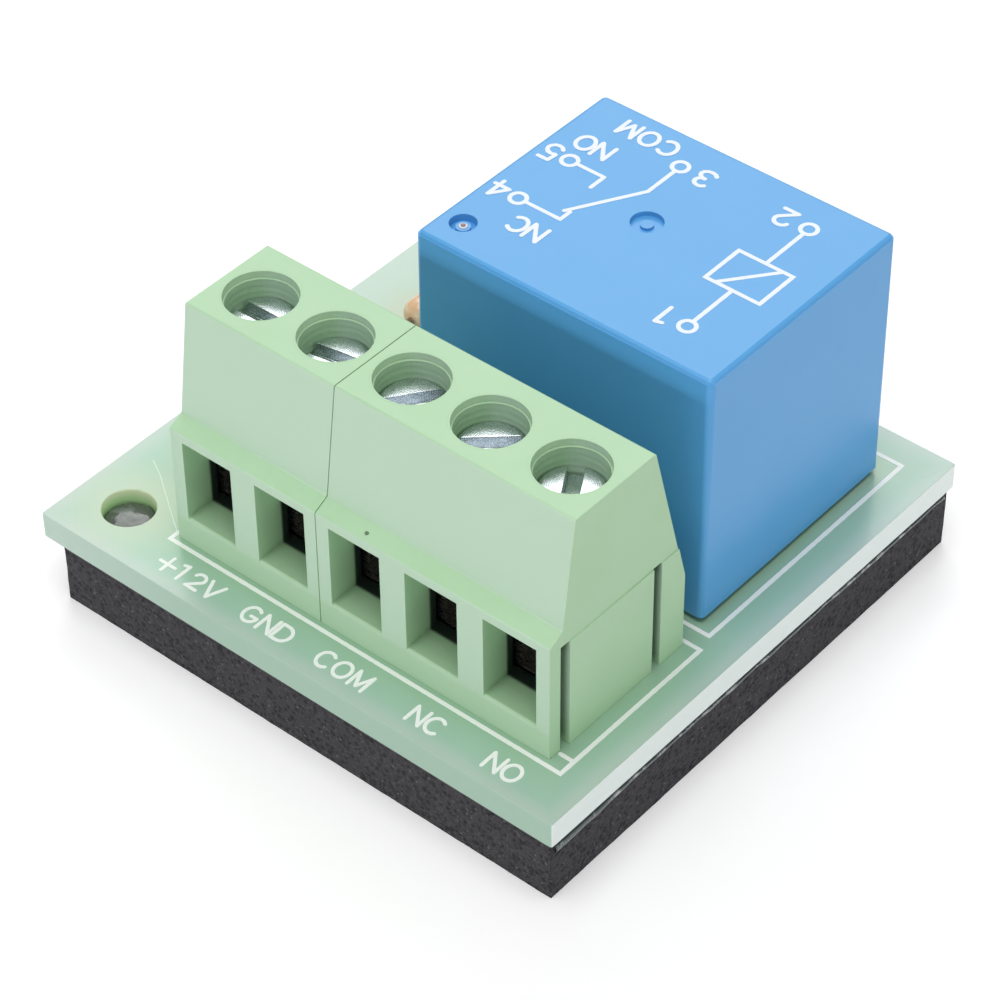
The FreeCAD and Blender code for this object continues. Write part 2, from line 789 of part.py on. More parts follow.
def common_terminal():
    """Strip on the outside of the yoke with the pin of the moving contact."""
    x0 = yoke_outer_x - common_strip_thickness
    half = common_strip_width / 2
    strip = box(x0, yoke_outer_x, relay_centre_y - half, relay_centre_y + half, base_top,
                base_top + common_strip_height)
    half = relay_pin_width / 2
    pin = box(x0, yoke_outer_x, relay_centre_y - half, relay_centre_y + half, pin_tip, base_top)
    return strip.fuse(pin)


def diode_body():
    """Glass bead with round ends, lying along Y just above the board."""
    z = board_top + diode_axis_height
    half = diode_length / 2
    radius = diode_diameter / 2
    end = [(half, 0), (half, radius - diode_end_width), (half - diode_end_length, radius)]
    outline = [(-along, r) for along, r in end] + end[::-1]
    points = [Vector(diode_x, diode_y + along, z + r) for along, r in outline]
    face = Part.Face(Part.makePolygon(points + [points[0]]))
    return face.revolve(Vector(diode_x, diode_y, z), Vector(0, 1, 0), 360)


def diode_lead(side):
    """Wire from one end of the bead, bent down through the board."""
    z = board_top + diode_axis_height
    start = Vector(diode_x, diode_y + side * diode_length / 2, z)
    down_y = diode_y + side * lead_spacing / 2
    bend_start = Vector(diode_x, down_y - side * lead_bend_radius, z)
    bend_end = Vector(diode_x, down_y, z - lead_bend_radius)
    diagonal = lead_bend_radius * math.sqrt(0.5)
    bend_middle = Vector(diode_x, down_y - side * (lead_bend_radius - diagonal),
                         z - lead_bend_radius + diagonal)
    foot = Vector(diode_x, down_y, pin_tip)
    path = Part.Wire([Part.makeLine(start, bend_start), Part.Arc(bend_start, bend_middle, bend_end).toShape(),
                      Part.makeLine(bend_end, foot)])
    section = prism_wire(0, 0, 0, lead_diameter / 2)
    section.rotate(Vector(0, 0, 0), Vector(1, 0, 0), 90)
    section.translate(start)
    return path.makePipeShell([section], True, False)


def main():
    """Build and write every sub-part."""
    os.makedirs("parts", exist_ok=True)
    export("circuit_board", circuit_board())
    export("foam_pad", foam_pad())
    export("adhesive_film", adhesive_film())
    export("solder_joints", solder_joints())
    small = pole_xs[:poles_in_small_housing]
    large = pole_xs[poles_in_small_housing:]
    export("terminal_housing_2way", terminal_housing(small, False))
    export("terminal_housing_3way", terminal_housing(large, True))
    for i, x in enumerate(pole_xs):
        number = str(i + 1)
        export("terminal_screw_" + number, terminal_screw(x, slot_angles[i % len(slot_angles)]))
        export("clamp_cage_" + number, clamp_cage(x))
        export("terminal_contact_" + number, terminal_contact(x))
    export("relay_cover", relay_cover())
    export("relay_base", relay_base())
    export("yoke", yoke())
    export("core", core())
    export("bobbin", bobbin())
    export("coil_winding", coil_winding())
    for i, (x, y) in enumerate(coil_pin_places()):
        export("coil_pin_" + str(i + 1), coil_pin(x, y))
    export("armature", armature())
    export("contact_spring", contact_spring())
    export("moving_contact", moving_contact())
    export("closed_contact", closed_contact())
    export("open_contact", open_contact())
    export("common_terminal", common_terminal())
    export("diode_body", diode_body())
    export("diode_lead_left", diode_lead(-1))
    export("diode_lead_right", diode_lead(1))


main()
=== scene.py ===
"""Looks of the relay module board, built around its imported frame. Every length is in metres."""

import json
import logging
import math
from dataclasses import dataclass, field
from enum import Enum
from functools import reduce
from typing import Callable, Sequence

import bmesh
import bpy
from mathutils import Matrix, Vector, noise

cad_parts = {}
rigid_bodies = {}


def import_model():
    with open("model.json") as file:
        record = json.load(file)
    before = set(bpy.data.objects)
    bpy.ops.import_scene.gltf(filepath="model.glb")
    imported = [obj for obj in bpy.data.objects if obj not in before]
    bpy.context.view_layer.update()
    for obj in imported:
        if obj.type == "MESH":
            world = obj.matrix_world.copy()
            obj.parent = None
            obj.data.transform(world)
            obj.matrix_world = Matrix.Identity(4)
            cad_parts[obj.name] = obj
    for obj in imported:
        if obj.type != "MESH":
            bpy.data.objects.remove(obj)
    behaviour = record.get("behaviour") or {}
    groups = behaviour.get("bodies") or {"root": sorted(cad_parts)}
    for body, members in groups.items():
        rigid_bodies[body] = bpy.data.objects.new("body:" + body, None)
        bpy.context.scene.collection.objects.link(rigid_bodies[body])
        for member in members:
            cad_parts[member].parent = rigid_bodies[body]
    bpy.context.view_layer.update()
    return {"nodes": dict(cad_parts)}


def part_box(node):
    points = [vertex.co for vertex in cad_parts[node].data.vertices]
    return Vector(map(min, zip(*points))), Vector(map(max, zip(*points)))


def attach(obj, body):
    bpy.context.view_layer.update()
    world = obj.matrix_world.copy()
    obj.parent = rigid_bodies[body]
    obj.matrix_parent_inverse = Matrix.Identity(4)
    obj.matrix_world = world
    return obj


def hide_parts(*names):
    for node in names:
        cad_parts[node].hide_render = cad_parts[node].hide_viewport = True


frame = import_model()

MM = 0.001
POLES = 5
POLE_PITCH = 5.08 * MM
ROOT_BODY = "root"

log = logging.getLogger("relay_module_board")

Socket = bpy.types.NodeSocket
Colour = tuple[float, float, float]
Point2 = tuple[float, float]
Point3 = tuple[float, float, float]
Line = Sequence[Point2]


def rgba(colour: Colour) -> tuple[float, float, float, float]:
    """Colour with full opacity."""
    return (*colour, 1.0)


def smoothstep(value: float, low: float, high: float) -> float:
    """Soft step from 0 at low to 1 at high."""
    t = min(max((value - low) / (high - low), 0.0), 1.0)
    return t * t * (3 - 2 * t)


def from_mm(*points: Point2) -> list[Point2]:
    """Points given in millimetres."""
    return [(x * MM, y * MM) for x, y in points]


def middle(node: str) -> Vector:
    """Middle of a CAD node's box."""
    low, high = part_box(node)
    return (low + high) / 2


class Facing(Enum):
    """Which way printed work reads."""

    FRONT = 0.0
    BACK = math.pi


class Graph:
    """Builds one material's nodes, from the patterns to the shader."""

    def __init__(self, name: str) -> None:
        """Start an empty material with one principled shader.

        Args:
            name: The material's name.
        """
        self.material = bpy.data.materials.new(name)
        self.material.use_nodes = True
        self.nodes = self.material.node_tree.nodes
        self.links = self.material.node_tree.links
        self.nodes.clear()
        self.output = self.nodes.new("ShaderNodeOutputMaterial")
        self.shader = self.nodes.new("ShaderNodeBsdfPrincipled")
        self.links.new(self.shader.outputs["BSDF"], self.output.inputs["Surface"])
        self.place = self.nodes.new("ShaderNodeTexCoord").outputs["Object"]

    def feed(self, node: bpy.types.Node, values: dict[int | str, object]) -> None:
        """Set or link a node's inputs.

        Args:
            node: The node to feed.
            values: Input name or number to a plain value or an output socket.
        """
        for key, value in values.items():
            if isinstance(value, Socket):
                self.links.new(value, node.inputs[key])
            else:
                node.inputs[key].default_value = value

    def node(self, kind: str, values: dict[int | str, object], **settings: object) -> bpy.types.Node:
        """Add a node.

        Args:
            kind: Its type name.
            values: Inputs, as in feed.
            **settings: Attributes of the node itself.

        Returns:
            The new node.
        """
        made = self.nodes.new(kind)
        for key, value in settings.items():
            setattr(made, key, value)
        self.feed(made, values)
        return made

    def shade(self, **sockets: object) -> None:
        """Feed the shader; an underscore in a name stands for a space."""
        self.feed(self.shader, {key.replace("_", " "): value for key, value in sockets.items()})

    def noise(self, size: float, detail: float = 3.0, rough: float = 0.5,
              stretch: Point3 | None = None) -> Socket:
        """Cloudy pattern whose blotches are about that size.

        Args:
            size: Size of a blotch.
            detail: Octaves of finer noise.
            rough: How strong the finer octaves are.
            stretch: Scale of the coordinates along each axis, or None to leave them.

        Returns:
            The pattern's socket, from 0 to 1.
        """
        place = self.place
        if stretch:
            place = self.node("ShaderNodeMapping", {"Vector": place, "Scale": stretch}).outputs[0]
        values = {"Vector": place, "Scale": 1 / size, "Detail": detail, "Roughness": rough}
        return self.node("ShaderNodeTexNoise", values).outputs[0]

    def cells(self, size: float) -> Socket:
        """Distance from the middles of cells of that size."""
        values = {"Vector": self.place, "Scale": 1 / size}
        return self.node("ShaderNodeTexVoronoi", values).outputs["Distance"]

    def math(self, operation: str, *values: float | Socket) -> Socket:
        """Socket of an operation on numbers or sockets."""
        return self.node("ShaderNodeMath", dict(enumerate(values)), operation=operation).outputs[0]

    def times(self, first: float | Socket, second: float | Socket) -> Socket:
        """Product of two values."""
        return self.math("MULTIPLY", first, second)

    def plus(self, first: float | Socket, second: float | Socket) -> Socket:
        """Sum of two values."""
        return self.math("ADD", first, second)

    def minus(self, first: float | Socket, second: float | Socket) -> Socket:
        """Difference of two values."""
        return self.math("SUBTRACT", first, second)

    def size(self, value: Socket) -> Socket:
        """A value without its sign."""
        return self.math("ABSOLUTE", value)

    def waves(self, value: Socket, pitch: float) -> Socket:
        """Sine waves along a length, from -1 to 1."""
        return self.math("SINE", self.times(value, 2 * math.pi / pitch))

    def waver(self, value: Socket, blotch: float, detail: float, reach: float) -> Socket:
        """Length that wanders a little.

        Args:
            value: The length's socket.
            blotch: Size of the pattern that it wanders by.
            detail: Octaves of finer noise.
            reach: The most that is added.

        Returns:
            The uneven length's socket.
        """
        return self.plus(value, self.times(self.noise(blotch, detail), reach))

    def radius(self, x: Socket, y: Socket, centre: Point2 = (0.0, 0.0)) -> Socket:
        """Distance from an upright axis.

        Args:
            x: Place along X.
            y: Place along Y.
            centre: Where the axis stands.

        Returns:
            The distance's socket.
        """
        off_x, off_y = self.minus(x, centre[0]), self.minus(y, centre[1])
        return self.math("SQRT", self.plus(self.times(off_x, off_x), self.times(off_y, off_y)))

    def step(self, value: Socket, low: float, high: float, to_low: float = 0.0,
             to_high: float = 1.0) -> Socket:
        """Soft step of a value between two levels.

        Args:
            value: The socket to map.
            low: Level at which the step starts.
            high: Level at which it ends.
            to_low: Result before the step.
            to_high: Result after it.

        Returns:
            The mapped socket.
        """
        values = {0: value, 1: low, 2: high, 3: to_low, 4: to_high}
        return self.node("ShaderNodeMapRange", values, interpolation_type="SMOOTHSTEP").outputs[0]

    def blend(self, share: Socket, first: Colour | Socket, second: Colour | Socket) -> Socket:
        """Colour between two, by a share.

        Args:
            share: 0 for the first colour, 1 for the second.
            first: Colour or socket.
            second: Colour or socket.

        Returns:
            The mixed colour's socket.
        """
        ends = [end if isinstance(end, Socket) else rgba(end) for end in (first, second)]
        made = self.node("ShaderNodeMix", {}, data_type="RGBA")
        self.feed(made, {0: share, 6: ends[0], 7: ends[1]})
        return made.outputs[2]

    def axes(self, place: Socket | None = None) -> Sequence[Socket]:
        """Coordinates as three separate sockets."""
        return self.node("ShaderNodeSeparateXYZ", {0: place or self.place}).outputs

    def facing(self, kind: str) -> Sequence[Socket]:
        """Direction of the surface along each axis, from its Normal or its True Normal."""
        return self.axes(self.node("ShaderNodeNewGeometry", {}).outputs[kind])

    def bump(self, height: Socket, depth: float, strength: float = 1.0,
             below: Socket | None = None) -> Socket:
        """Give the shader a relief.

        Args:
            height: Height pattern from 0 to 1.
            depth: Depth of the relief.
            strength: Share of it that is used.
            below: A relief that this one is added to.

        Returns:
            The relief's normal socket.
        """
        values = {"Height": height, "Distance": depth, "Strength": strength}
        if below is not None:
            values["Normal"] = below
        normal = self.node("ShaderNodeBump", values).outputs[0]
        self.feed(self.shader, {"Normal": normal})
        return normal


@dataclass(frozen=True)
class Finish:
    """A finish of the real object and the material slot that it belongs to."""

    name: str
    slot: str

    def paint(self, graph: Graph) -> None:
        """Lay out the material's nodes in a graph."""
        raise NotImplementedError

    def material(self) -> bpy.types.Material:
        """The finish's material, made once.

        Returns:
            The material.
        """
        found = bpy.data.materials.get(self.name)
        if found:
            return found
        graph = Graph(self.name)
        self.paint(graph)
        return graph.material


@dataclass(frozen=True)
class MouldedPlastic(Finish):
    """Injection-moulded plastic: even colour with faint flow marks and a fine spark-eroded skin."""

    colour: Colour
    shade: Colour
    roughness: float = 0.42
    unevenness: float = 0.06
    grain: float = 0.07 * MM
    grain_depth: float = 0.004 * MM
    flow: float = 4.0 * MM
    flow_share: float = 0.6
    mottle: float = 0.5 * MM
    specular: float = 0.4

    def paint(self, graph: Graph) -> None:
        """Colour and roughness from slow flow marks and mottle, then the relief.

        Args:
            graph: The material's nodes.
        """
        flow = graph.times(graph.noise(self.flow, 2.0), self.flow_share)
        mottle = graph.noise(self.mottle, 4.0, 0.6)
        share = graph.plus(flow, graph.times(mottle, 1 - self.flow_share))
        colour = graph.blend(graph.step(share, 0.3, 0.7), self.colour, self.shade)
        smooth, rough = self.roughness - self.unevenness, self.roughness + self.unevenness
        graph.shade(
            Base_Color=self.tint(graph, colour),
            Roughness=graph.step(mottle, 0.2, 0.8, smooth, rough),
            Specular_IOR_Level=self.specular)
        self.carve(graph)

    def tint(self, graph: Graph, colour: Socket) -> Socket:
        """Local changes of the colour: none on a plain moulding."""
        return colour

    def carve(self, graph: Graph) -> None:
        """Relief of the grain."""
        graph.bump(graph.noise(self.grain, 2.0), self.grain_depth)


@dataclass(frozen=True)
class TerminalPlastic(MouldedPlastic):
    """Green moulding: painted sheen on the wire side, painted shade in grooves and mouths, rings in the
    driver holes.
    """

    first_pole: float = 0.0
    axis_y: float = 0.0
    hole_radius: float = 2.1 * MM
    hole_edge: float = 0.03 * MM
    ring_pitch: float = 0.42 * MM
    ring_bottom: float = 17.6 * MM
    ring_fade: float = 0.2 * MM
    ring_depth: float = 0.02 * MM
    # Painted sheen: faces towards the wire side are paler and greyer, as if mirroring the bright floor; less
    # of it below the foot.
    painted_front_sheen: Colour = (0.540, 0.720, 0.565)
    front_sheen_share: float = 0.85
    foot: float = 7.3 * MM
    foot_fade: float = 0.5 * MM
    front_sheen_below_foot: float = 0.35
    # Painted shade: colour in grooves and creases, found by ambient occlusion.
    deep: Colour = (0.035, 0.065, 0.035)
    crevice: float = 0.9 * MM
    seam_pole: float = 1.5
    seam_reach: Point2 = (0.12 * MM, 0.2 * MM)
    # Painted shade: near black inside the wire mouths.
    painted_mouth_shade: Colour = (0.018, 0.030, 0.024)
    mouth_side: Point2 = (2.2 * MM, 2.3 * MM)
    mouth_front: Point2 = (-3.05 * MM, -2.8 * MM)
    mouth_back: Point2 = (3.4 * MM, 3.6 * MM)
    mouth_top: Point2 = (12.4 * MM, 12.5 * MM)

    def from_pole(self, graph: Graph) -> tuple[Socket, Socket]:
        """Place along the row from the nearest pole, and behind the screws' axis.

        Args:
            graph: The material's nodes.

        Returns:
            The two places' sockets.
        """
        x, y, _ = graph.axes()
        along_row = graph.minus(x, self.first_pole)
        across = graph.math("WRAP", along_row, POLE_PITCH / 2, -POLE_PITCH / 2)
        return across, graph.minus(y, self.axis_y)

    def tint(self, graph: Graph, colour: Socket) -> Socket:
        """Painted sheen on the wire side, then painted shade in the grooves, then painted shade in the wire
        mouths.

        Args:
            graph: The material's nodes.
            colour: The moulding's colour so far.

        Returns:
            The changed colour's socket.
        """
        z = graph.axes()[2]
        backwards = graph.facing("True Normal")[1]
        # Painted sheen on the faces that turn to the wire side.
        front = graph.times(
            graph.step(backwards, -0.95, -0.6, self.front_sheen_share, 0.0),
            graph.step(z, self.foot - self.foot_fade, self.foot, self.front_sheen_below_foot, 1.0))
        colour = graph.blend(front, colour, self.painted_front_sheen)
        # Painted shade in the grooves and creases.
        colour = graph.blend(graph.step(self.openness(graph), 0.2, 0.7, 0.85, 0.0), colour, self.deep)
        # Painted shade in the wire mouths.
        return graph.blend(self.mouth_shade_mask(graph), colour, self.painted_mouth_shade)

    def openness(self, graph: Graph) -> Socket:
        """How open the surface lies, for the painted shade: 0 deep in a groove, never dark beside the
        housings' seam.

        Args:
            graph: The material's nodes.

        Returns:
            The share's socket.
        """
        values = {"Distance": self.crevice}
        occlusion = graph.node("ShaderNodeAmbientOcclusion", values, samples=8, only_local=True)
        seam = self.first_pole + self.seam_pole * POLE_PITCH
        from_seam = graph.size(graph.minus(graph.axes()[0], seam))
        eased = graph.step(from_seam, *self.seam_reach, 0.6, 0.0)
        return graph.math("MAXIMUM", occlusion.outputs["AO"], eased)

    def mouth_shade_mask(self, graph: Graph) -> Socket:
        """Share of the painted shade: 1 in the wire mouths and 0 elsewhere.

        Args:
            graph: The material's nodes.

        Returns:
            The share's socket.
        """
        x, _, z = graph.axes()
        across, back = self.from_pole(graph)
        near, far = self.mouth_side
        last_pole = self.first_pole + (POLES - 1) * POLE_PITCH
        return reduce(graph.times, (
            graph.step(graph.size(across), near, far, 1.0, 0.0),
            graph.step(x, self.first_pole - far, self.first_pole - near),
            graph.step(x, last_pole + near, last_pole + far, 1.0, 0.0),
            graph.step(back, *self.mouth_front),
            graph.step(back, *self.mouth_back, 1.0, 0.0),
            graph.step(z, *self.mouth_top, 1.0, 0.0)))

    def carve(self, graph: Graph) -> None:
        """Grain, and the rings on the walls of the driver holes.

        Args:
            graph: The material's nodes.
        """
        across, back = self.from_pole(graph)
        z = graph.axes()[2]
        wall = graph.step(graph.radius(across, back), self.hole_radius,
                          self.hole_radius + self.hole_edge, 1.0, 0.0)
        wall = graph.times(wall, graph.step(z, self.ring_bottom, self.ring_bottom + self.ring_fade))
        waves = graph.waves(graph.waver(z, 1.2 * MM, 1.0, 0.12 * MM), self.ring_pitch)
        rings = graph.plus(graph.times(waves, 0.5), 0.5)
        skin = graph.bump(graph.noise(self.grain, 2.0), self.grain_depth)
        graph.bump(graph.times(rings, wall), self.ring_depth, 0.5, skin)


@dataclass(frozen=True)
class CasePlastic(MouldedPlastic):
    """Blue case plastic with faint upright drag marks from the mould on its side walls."""

    drag: float = 0.7 * MM
    drag_stretch: Point3 = (1.0, 1.0, 0.03)
    drag_depth: float = 0.0012 * MM

    def carve(self, graph: Graph) -> None:
        """Grain, and long upright marks over it.

        Args:
            graph: The material's nodes.
        """
        marks = graph.noise(self.drag, 1.0, stretch=self.drag_stretch)
        skin = graph.bump(graph.noise(self.grain, 1.0), self.grain_depth)
        graph.bump(marks, self.drag_depth, 0.4, skin)


@dataclass(frozen=True)
class Laminate(Finish):
    """Glass-epoxy board under green mask: milky at the rim, deeper over the copper."""

    half_length: float
    half_width: float
    hole: Point2
    diode: Point2
    copper: Colour = (0.335, 0.545, 0.376)
    bare: Colour = (0.37, 0.58, 0.455)
    rim: Colour = (0.48, 0.61, 0.53)
    # Painted sheen: paler mask where the board would mirror the lamp behind it.
    painted_sheen: Colour = (0.50, 0.64, 0.53)
    halo: Colour = (0.62, 0.68, 0.50)
    # Painted reflection: the warm glass of the diode mirrored in the glossy mask.
    painted_diode_reflection: Colour = (0.53, 0.54, 0.39)
    edge: Colour = (0.37, 0.56, 0.44)
    # Painted sheen: the sawn front is paler towards the left end, as is the board's top there.
    left_edge_sheen: Colour = (0.52, 0.67, 0.58)
    # Painted light: the right end is much paler because it faces the light.
    painted_lit_right_edge: Colour = (0.86, 0.94, 0.91)
    # Painted light: the fixing hole's wall glows as if lit through the board, brightest near the top.
    painted_glow_hole_wall: Colour = (0.66, 0.98, 0.52)
    painted_glow_hole_lip: Colour = (0.90, 1.0, 0.70)
    copper_inset: Point2 = (0.6 * MM, 3.4 * MM)
    rim_inset: Point2 = (0.1 * MM, 1.3 * MM)
    rim_wander: float = 0.5 * MM
    sheen_left_reach: float = 9 * MM
    sheen_rise: Point2 = (3 * MM, 5 * MM)
    sheen_back_start: float = 6 * MM
    halo_reach: Point2 = (1.4 * MM, 4.5 * MM)
    diode_reflection_reach: Point2 = (1.2 * MM, 4.4 * MM)
    bore_reach: Point2 = (1.6 * MM, 1.7 * MM)
    lip_height: Point2 = (4.6 * MM, 5.3 * MM)
    left_edge_sheen_end: float = -5 * MM
    fibre: float = 0.12 * MM
    fibre_stretch: Point3 = (0.25, 0.25, 2.2)
    weave: float = 0.55 * MM
    weave_depth: float = 0.0016 * MM
    dust_depth: float = 0.006 * MM

    def paint(self, graph: Graph) -> None:
        """Mask on the faces and cut cloth on the edges, with the weave showing through.

        Args:
            graph: The material's nodes.
        """
        x, y, _ = graph.axes()
        facing = graph.facing("Normal")
        flat = graph.step(graph.size(facing[2]), 0.5, 0.9)
        graph.shade(
            Base_Color=graph.blend(flat, self.cut_edge(graph, facing[0]), self.mask(graph)),
            Roughness=graph.step(flat, 0.0, 1.0, 0.62, 0.3),
            Specular_IOR_Level=0.45,
            Coat_Weight=0.25,
            Coat_Roughness=0.12)
        weave = graph.times(graph.waves(x, self.weave), graph.waves(y, self.weave))
        relief = graph.bump(weave, self.weave_depth, 0.6)
        graph.bump(graph.noise(0.25 * MM), self.dust_depth, 0.6, relief)

    def mask(self, graph: Graph) -> Socket:
        """Mask colour, by the distance from the rim, the hole and the diode, with painted sheen on the left
        side and at the back and a painted reflection of the diode beside it.

        Args:
            graph: The material's nodes.

        Returns:
            The colour's socket.
        """
        x, y, _ = graph.axes()
        inset = graph.math("MINIMUM", graph.minus(self.half_length, graph.size(x)),
                           graph.minus(self.half_width, graph.size(y)))
        wander = graph.minus(graph.noise(2.5 * MM), 0.5)
        inset = graph.plus(inset, graph.times(wander, self.rim_wander))
        colour = graph.blend(graph.step(inset, *self.copper_inset), self.bare, self.copper)
        colour = graph.blend(graph.step(inset, *self.rim_inset), self.rim, colour)
        rise_start, rise_end = self.sheen_rise
        # Painted sheen towards the left end.
        left = graph.times(
            graph.step(x, -self.half_length + self.sheen_left_reach, -self.half_length, 0.0, 0.9),
            graph.step(y, -self.half_width + rise_start, rise_end, 0.1, 1.0))
        colour = graph.blend(left, colour, self.painted_sheen)
        # Painted sheen towards the back.
        back = graph.step(y, self.sheen_back_start, self.half_width, 0.0, 0.35)
        colour = graph.blend(back, colour, self.painted_sheen)
        halo = graph.step(graph.radius(x, y, self.hole), *self.halo_reach, 0.5, 0.0)
        colour = graph.blend(halo, colour, self.halo)
        # Painted reflection of the diode round it.
        diode_reflection_share = graph.step(graph.radius(x, y, self.diode), *self.diode_reflection_reach, 0.6, 0.0)
        colour = graph.blend(diode_reflection_share, colour, self.painted_diode_reflection)
        blotch = graph.noise(0.9 * MM, 4.0, 0.6)
        return graph.blend(graph.step(blotch, 0.35, 0.75, 0.0, 0.12), colour, self.bare)

    def cut_edge(self, graph: Graph, rightwards: Socket) -> Socket:
        """Colour of the sawn sides and of the fixing hole, with painted light on the right end and on the
        hole's wall.

        Args:
            graph: The material's nodes.
            rightwards: How far the surface faces to the right.

        Returns:
            The colour's socket.
        """
        x, y, z = graph.axes()
        # Painted sheen, paler towards the left end.
        milky = graph.step(x, -self.half_length, self.left_edge_sheen_end)
        colour = graph.blend(milky, self.left_edge_sheen, self.edge)
        fibres = graph.noise(self.fibre, 3.0, 0.6, self.fibre_stretch)
        colour = graph.blend(graph.times(fibres, 0.4), colour, self.rim)
        # Painted light on the right end.
        colour = graph.blend(graph.step(rightwards, 0.5, 0.9), colour, self.painted_lit_right_edge)
        # Painted light in the fixing hole, brightest near the top.
        bore = graph.blend(graph.step(z, *self.lip_height), self.painted_glow_hole_wall, self.painted_glow_hole_lip)
        in_hole = graph.step(graph.radius(x, y, self.hole), *self.bore_reach, 1.0, 0.0)
        return graph.blend(in_hole, colour, bore)


@dataclass(frozen=True)
class CellFoam(Finish):
    """Dark closed-cell foam, cut with a blade: open cells catch the light as specks."""

    colour: Colour = (0.062, 0.059, 0.065)
    dark: Colour = (0.026, 0.025, 0.029)
    speck: Colour = (0.145, 0.145, 0.150)
    cell: float = 0.34 * MM
    pore: float = 0.13 * MM
    tip: float = 0.62 * MM

    def paint(self, graph: Graph) -> None:
        """Cell walls and specks from two sizes of cell.

        Args:
            graph: The material's nodes.
        """
        cells, tips = graph.cells(self.cell), graph.cells(self.tip)
        pores = graph.noise(self.pore, 2.0, 0.6)
        clumps = graph.noise(0.9 * MM, 3.0, 0.6)
        share = graph.plus(graph.times(cells, 0.5), graph.times(clumps, 0.5))
        base = graph.blend(graph.step(share, 0.28, 0.58), self.dark, self.colour)
        base = graph.blend(graph.step(pores, 0.52, 0.72, 0.0, 0.55), base, self.speck)
        base = graph.blend(graph.step(tips, 0.09, 0.15, 0.85, 0.0), base, self.speck)
        graph.shade(Base_Color=base, Roughness=0.95, Specular_IOR_Level=0.2)
        coarse = graph.bump(cells, 0.09 * MM, 0.8)
        graph.bump(pores, 0.05 * MM, 0.9, coarse)


@dataclass(frozen=True)
class GlossFilm(Finish):
    """Clear double-sided film that takes the dark of the foam behind it."""

    colour: Colour
    haze: Colour
    haze_level: float = 0.5
    haze_width: float = 0.18

    def paint(self, graph: Graph) -> None:
        """Dark gloss with pressed, milky patches.

        Args:
            graph: The material's nodes.
        """
        patches = graph.noise(0.9 * MM, 4.0, 0.6)
        hazy = graph.step(patches, self.haze_level, self.haze_level + self.haze_width, 0.0, 0.9)
        graph.shade(Base_Color=graph.blend(hazy, self.colour, self.haze),
                    Roughness=graph.step(patches, 0.35, 0.7, 0.12, 0.4),
                    Specular_IOR_Level=0.6, Coat_Weight=0.6, Coat_Roughness=0.08)
        graph.bump(graph.noise(0.5 * MM), 0.06 * MM, 0.8)


@dataclass(frozen=True)
class Metal(Finish):
    """Plated or bare metal with a directional or turned finish."""

    colour: Colour
    tarnish: Colour
    roughness: float = 0.28
    scratch: Point3 = (1.0, 1.0, 1.0)
    scratch_size: float = 0.08 * MM
    scratch_depth: float = 0.003 * MM
    patch: float = 0.8 * MM

    def paint(self, graph: Graph) -> None:
        """Metallic colour with tarnish, and fine scratches along one axis.

        Args:
            graph: The material's nodes.
        """
        patches = graph.noise(self.patch, 4.0, 0.6)
        scratches = graph.noise(self.scratch_size, 3.0, 0.6, self.scratch)
        tarnished = graph.step(patches, 0.4, 0.75, 0.0, 0.7)
        smooth, rough = self.roughness - 0.08, self.roughness + 0.1
        graph.shade(
            Base_Color=graph.blend(tarnished, self.colour, self.tarnish),
            Metallic=1.0,
            Roughness=graph.step(scratches, 0.25, 0.75, smooth, rough))
        self.carve(graph, scratches)

    def carve(self, graph: Graph, scratches: Socket) -> None:
        """Relief of the scratches."""
        graph.bump(scratches, self.scratch_depth)


@dataclass(frozen=True)
class TurnedMetal(Metal):
    """Zinc-plated screw steel with the rings of its turning round an upright axis."""

    centre: Point2 = (0.0, 0.0)
    ring_pitch: float = 0.11 * MM
    ring_depth: float = 0.002 * MM
    dent: float = 0.5 * MM
    dent_depth: float = 0.02 * MM

    def carve(self, graph: Graph, scratches: Socket) -> None:
        """Soft dents and rings about the screw's own axis; the scratches stay in its gloss.

        Args:
            graph: The material's nodes.
            scratches: The scratches' pattern, which this relief leaves out.
        """
        x, y, _ = graph.axes()
        radius = graph.waver(graph.radius(x, y, self.centre), 0.6 * MM, 2.0, 0.05 * MM)
        skin = graph.bump(graph.noise(self.dent, 2.0), self.dent_depth, 0.5)
        graph.bump(graph.waves(radius, self.ring_pitch), self.ring_depth, 0.5, skin)


@dataclass(frozen=True)
class WoundWire(Finish):
    """Enamelled copper wire laid turn by turn."""

    colour: Colour = (0.72, 0.27, 0.11)
    shade: Colour = (0.38, 0.11, 0.04)
    wire: float = 0.12 * MM

    def paint(self, graph: Graph) -> None:
        """Round turns stacked along the coil's axis, with painted shade in the creases between them.

        Args:
            graph: The material's nodes.
        """
        height = graph.waver(graph.axes()[2], 2.0 * MM, 1.0, 0.1 * MM)
        turns = graph.size(graph.waves(height, 2 * self.wire))
        # Painted shade between the turns.
        graph.shade(Base_Color=graph.blend(graph.step(turns, 0.1, 0.6), self.shade, self.colour),
                    Metallic=0.7, Roughness=0.3, Coat_Weight=0.5, Coat_Roughness=0.15)
        graph.bump(turns, self.wire / 2, 0.8)


@dataclass(frozen=True)
class Solder(Finish):
    """Tin solder: bright, with a slightly frosted skin."""

    colour: Colour = (0.74, 0.75, 0.76)
    frost: Colour = (0.50, 0.51, 0.52)

    def paint(self, graph: Graph) -> None:
        """Soft metal with frosted patches.

        Args:
            graph: The material's nodes.
        """
        frost = graph.noise(0.3 * MM, 4.0, 0.6)
        graph.shade(Base_Color=graph.blend(graph.step(frost, 0.4, 0.7), self.colour, self.frost),
                    Metallic=1.0, Roughness=graph.step(frost, 0.3, 0.7, 0.18, 0.42))
        graph.bump(frost, 0.02 * MM, 0.5)


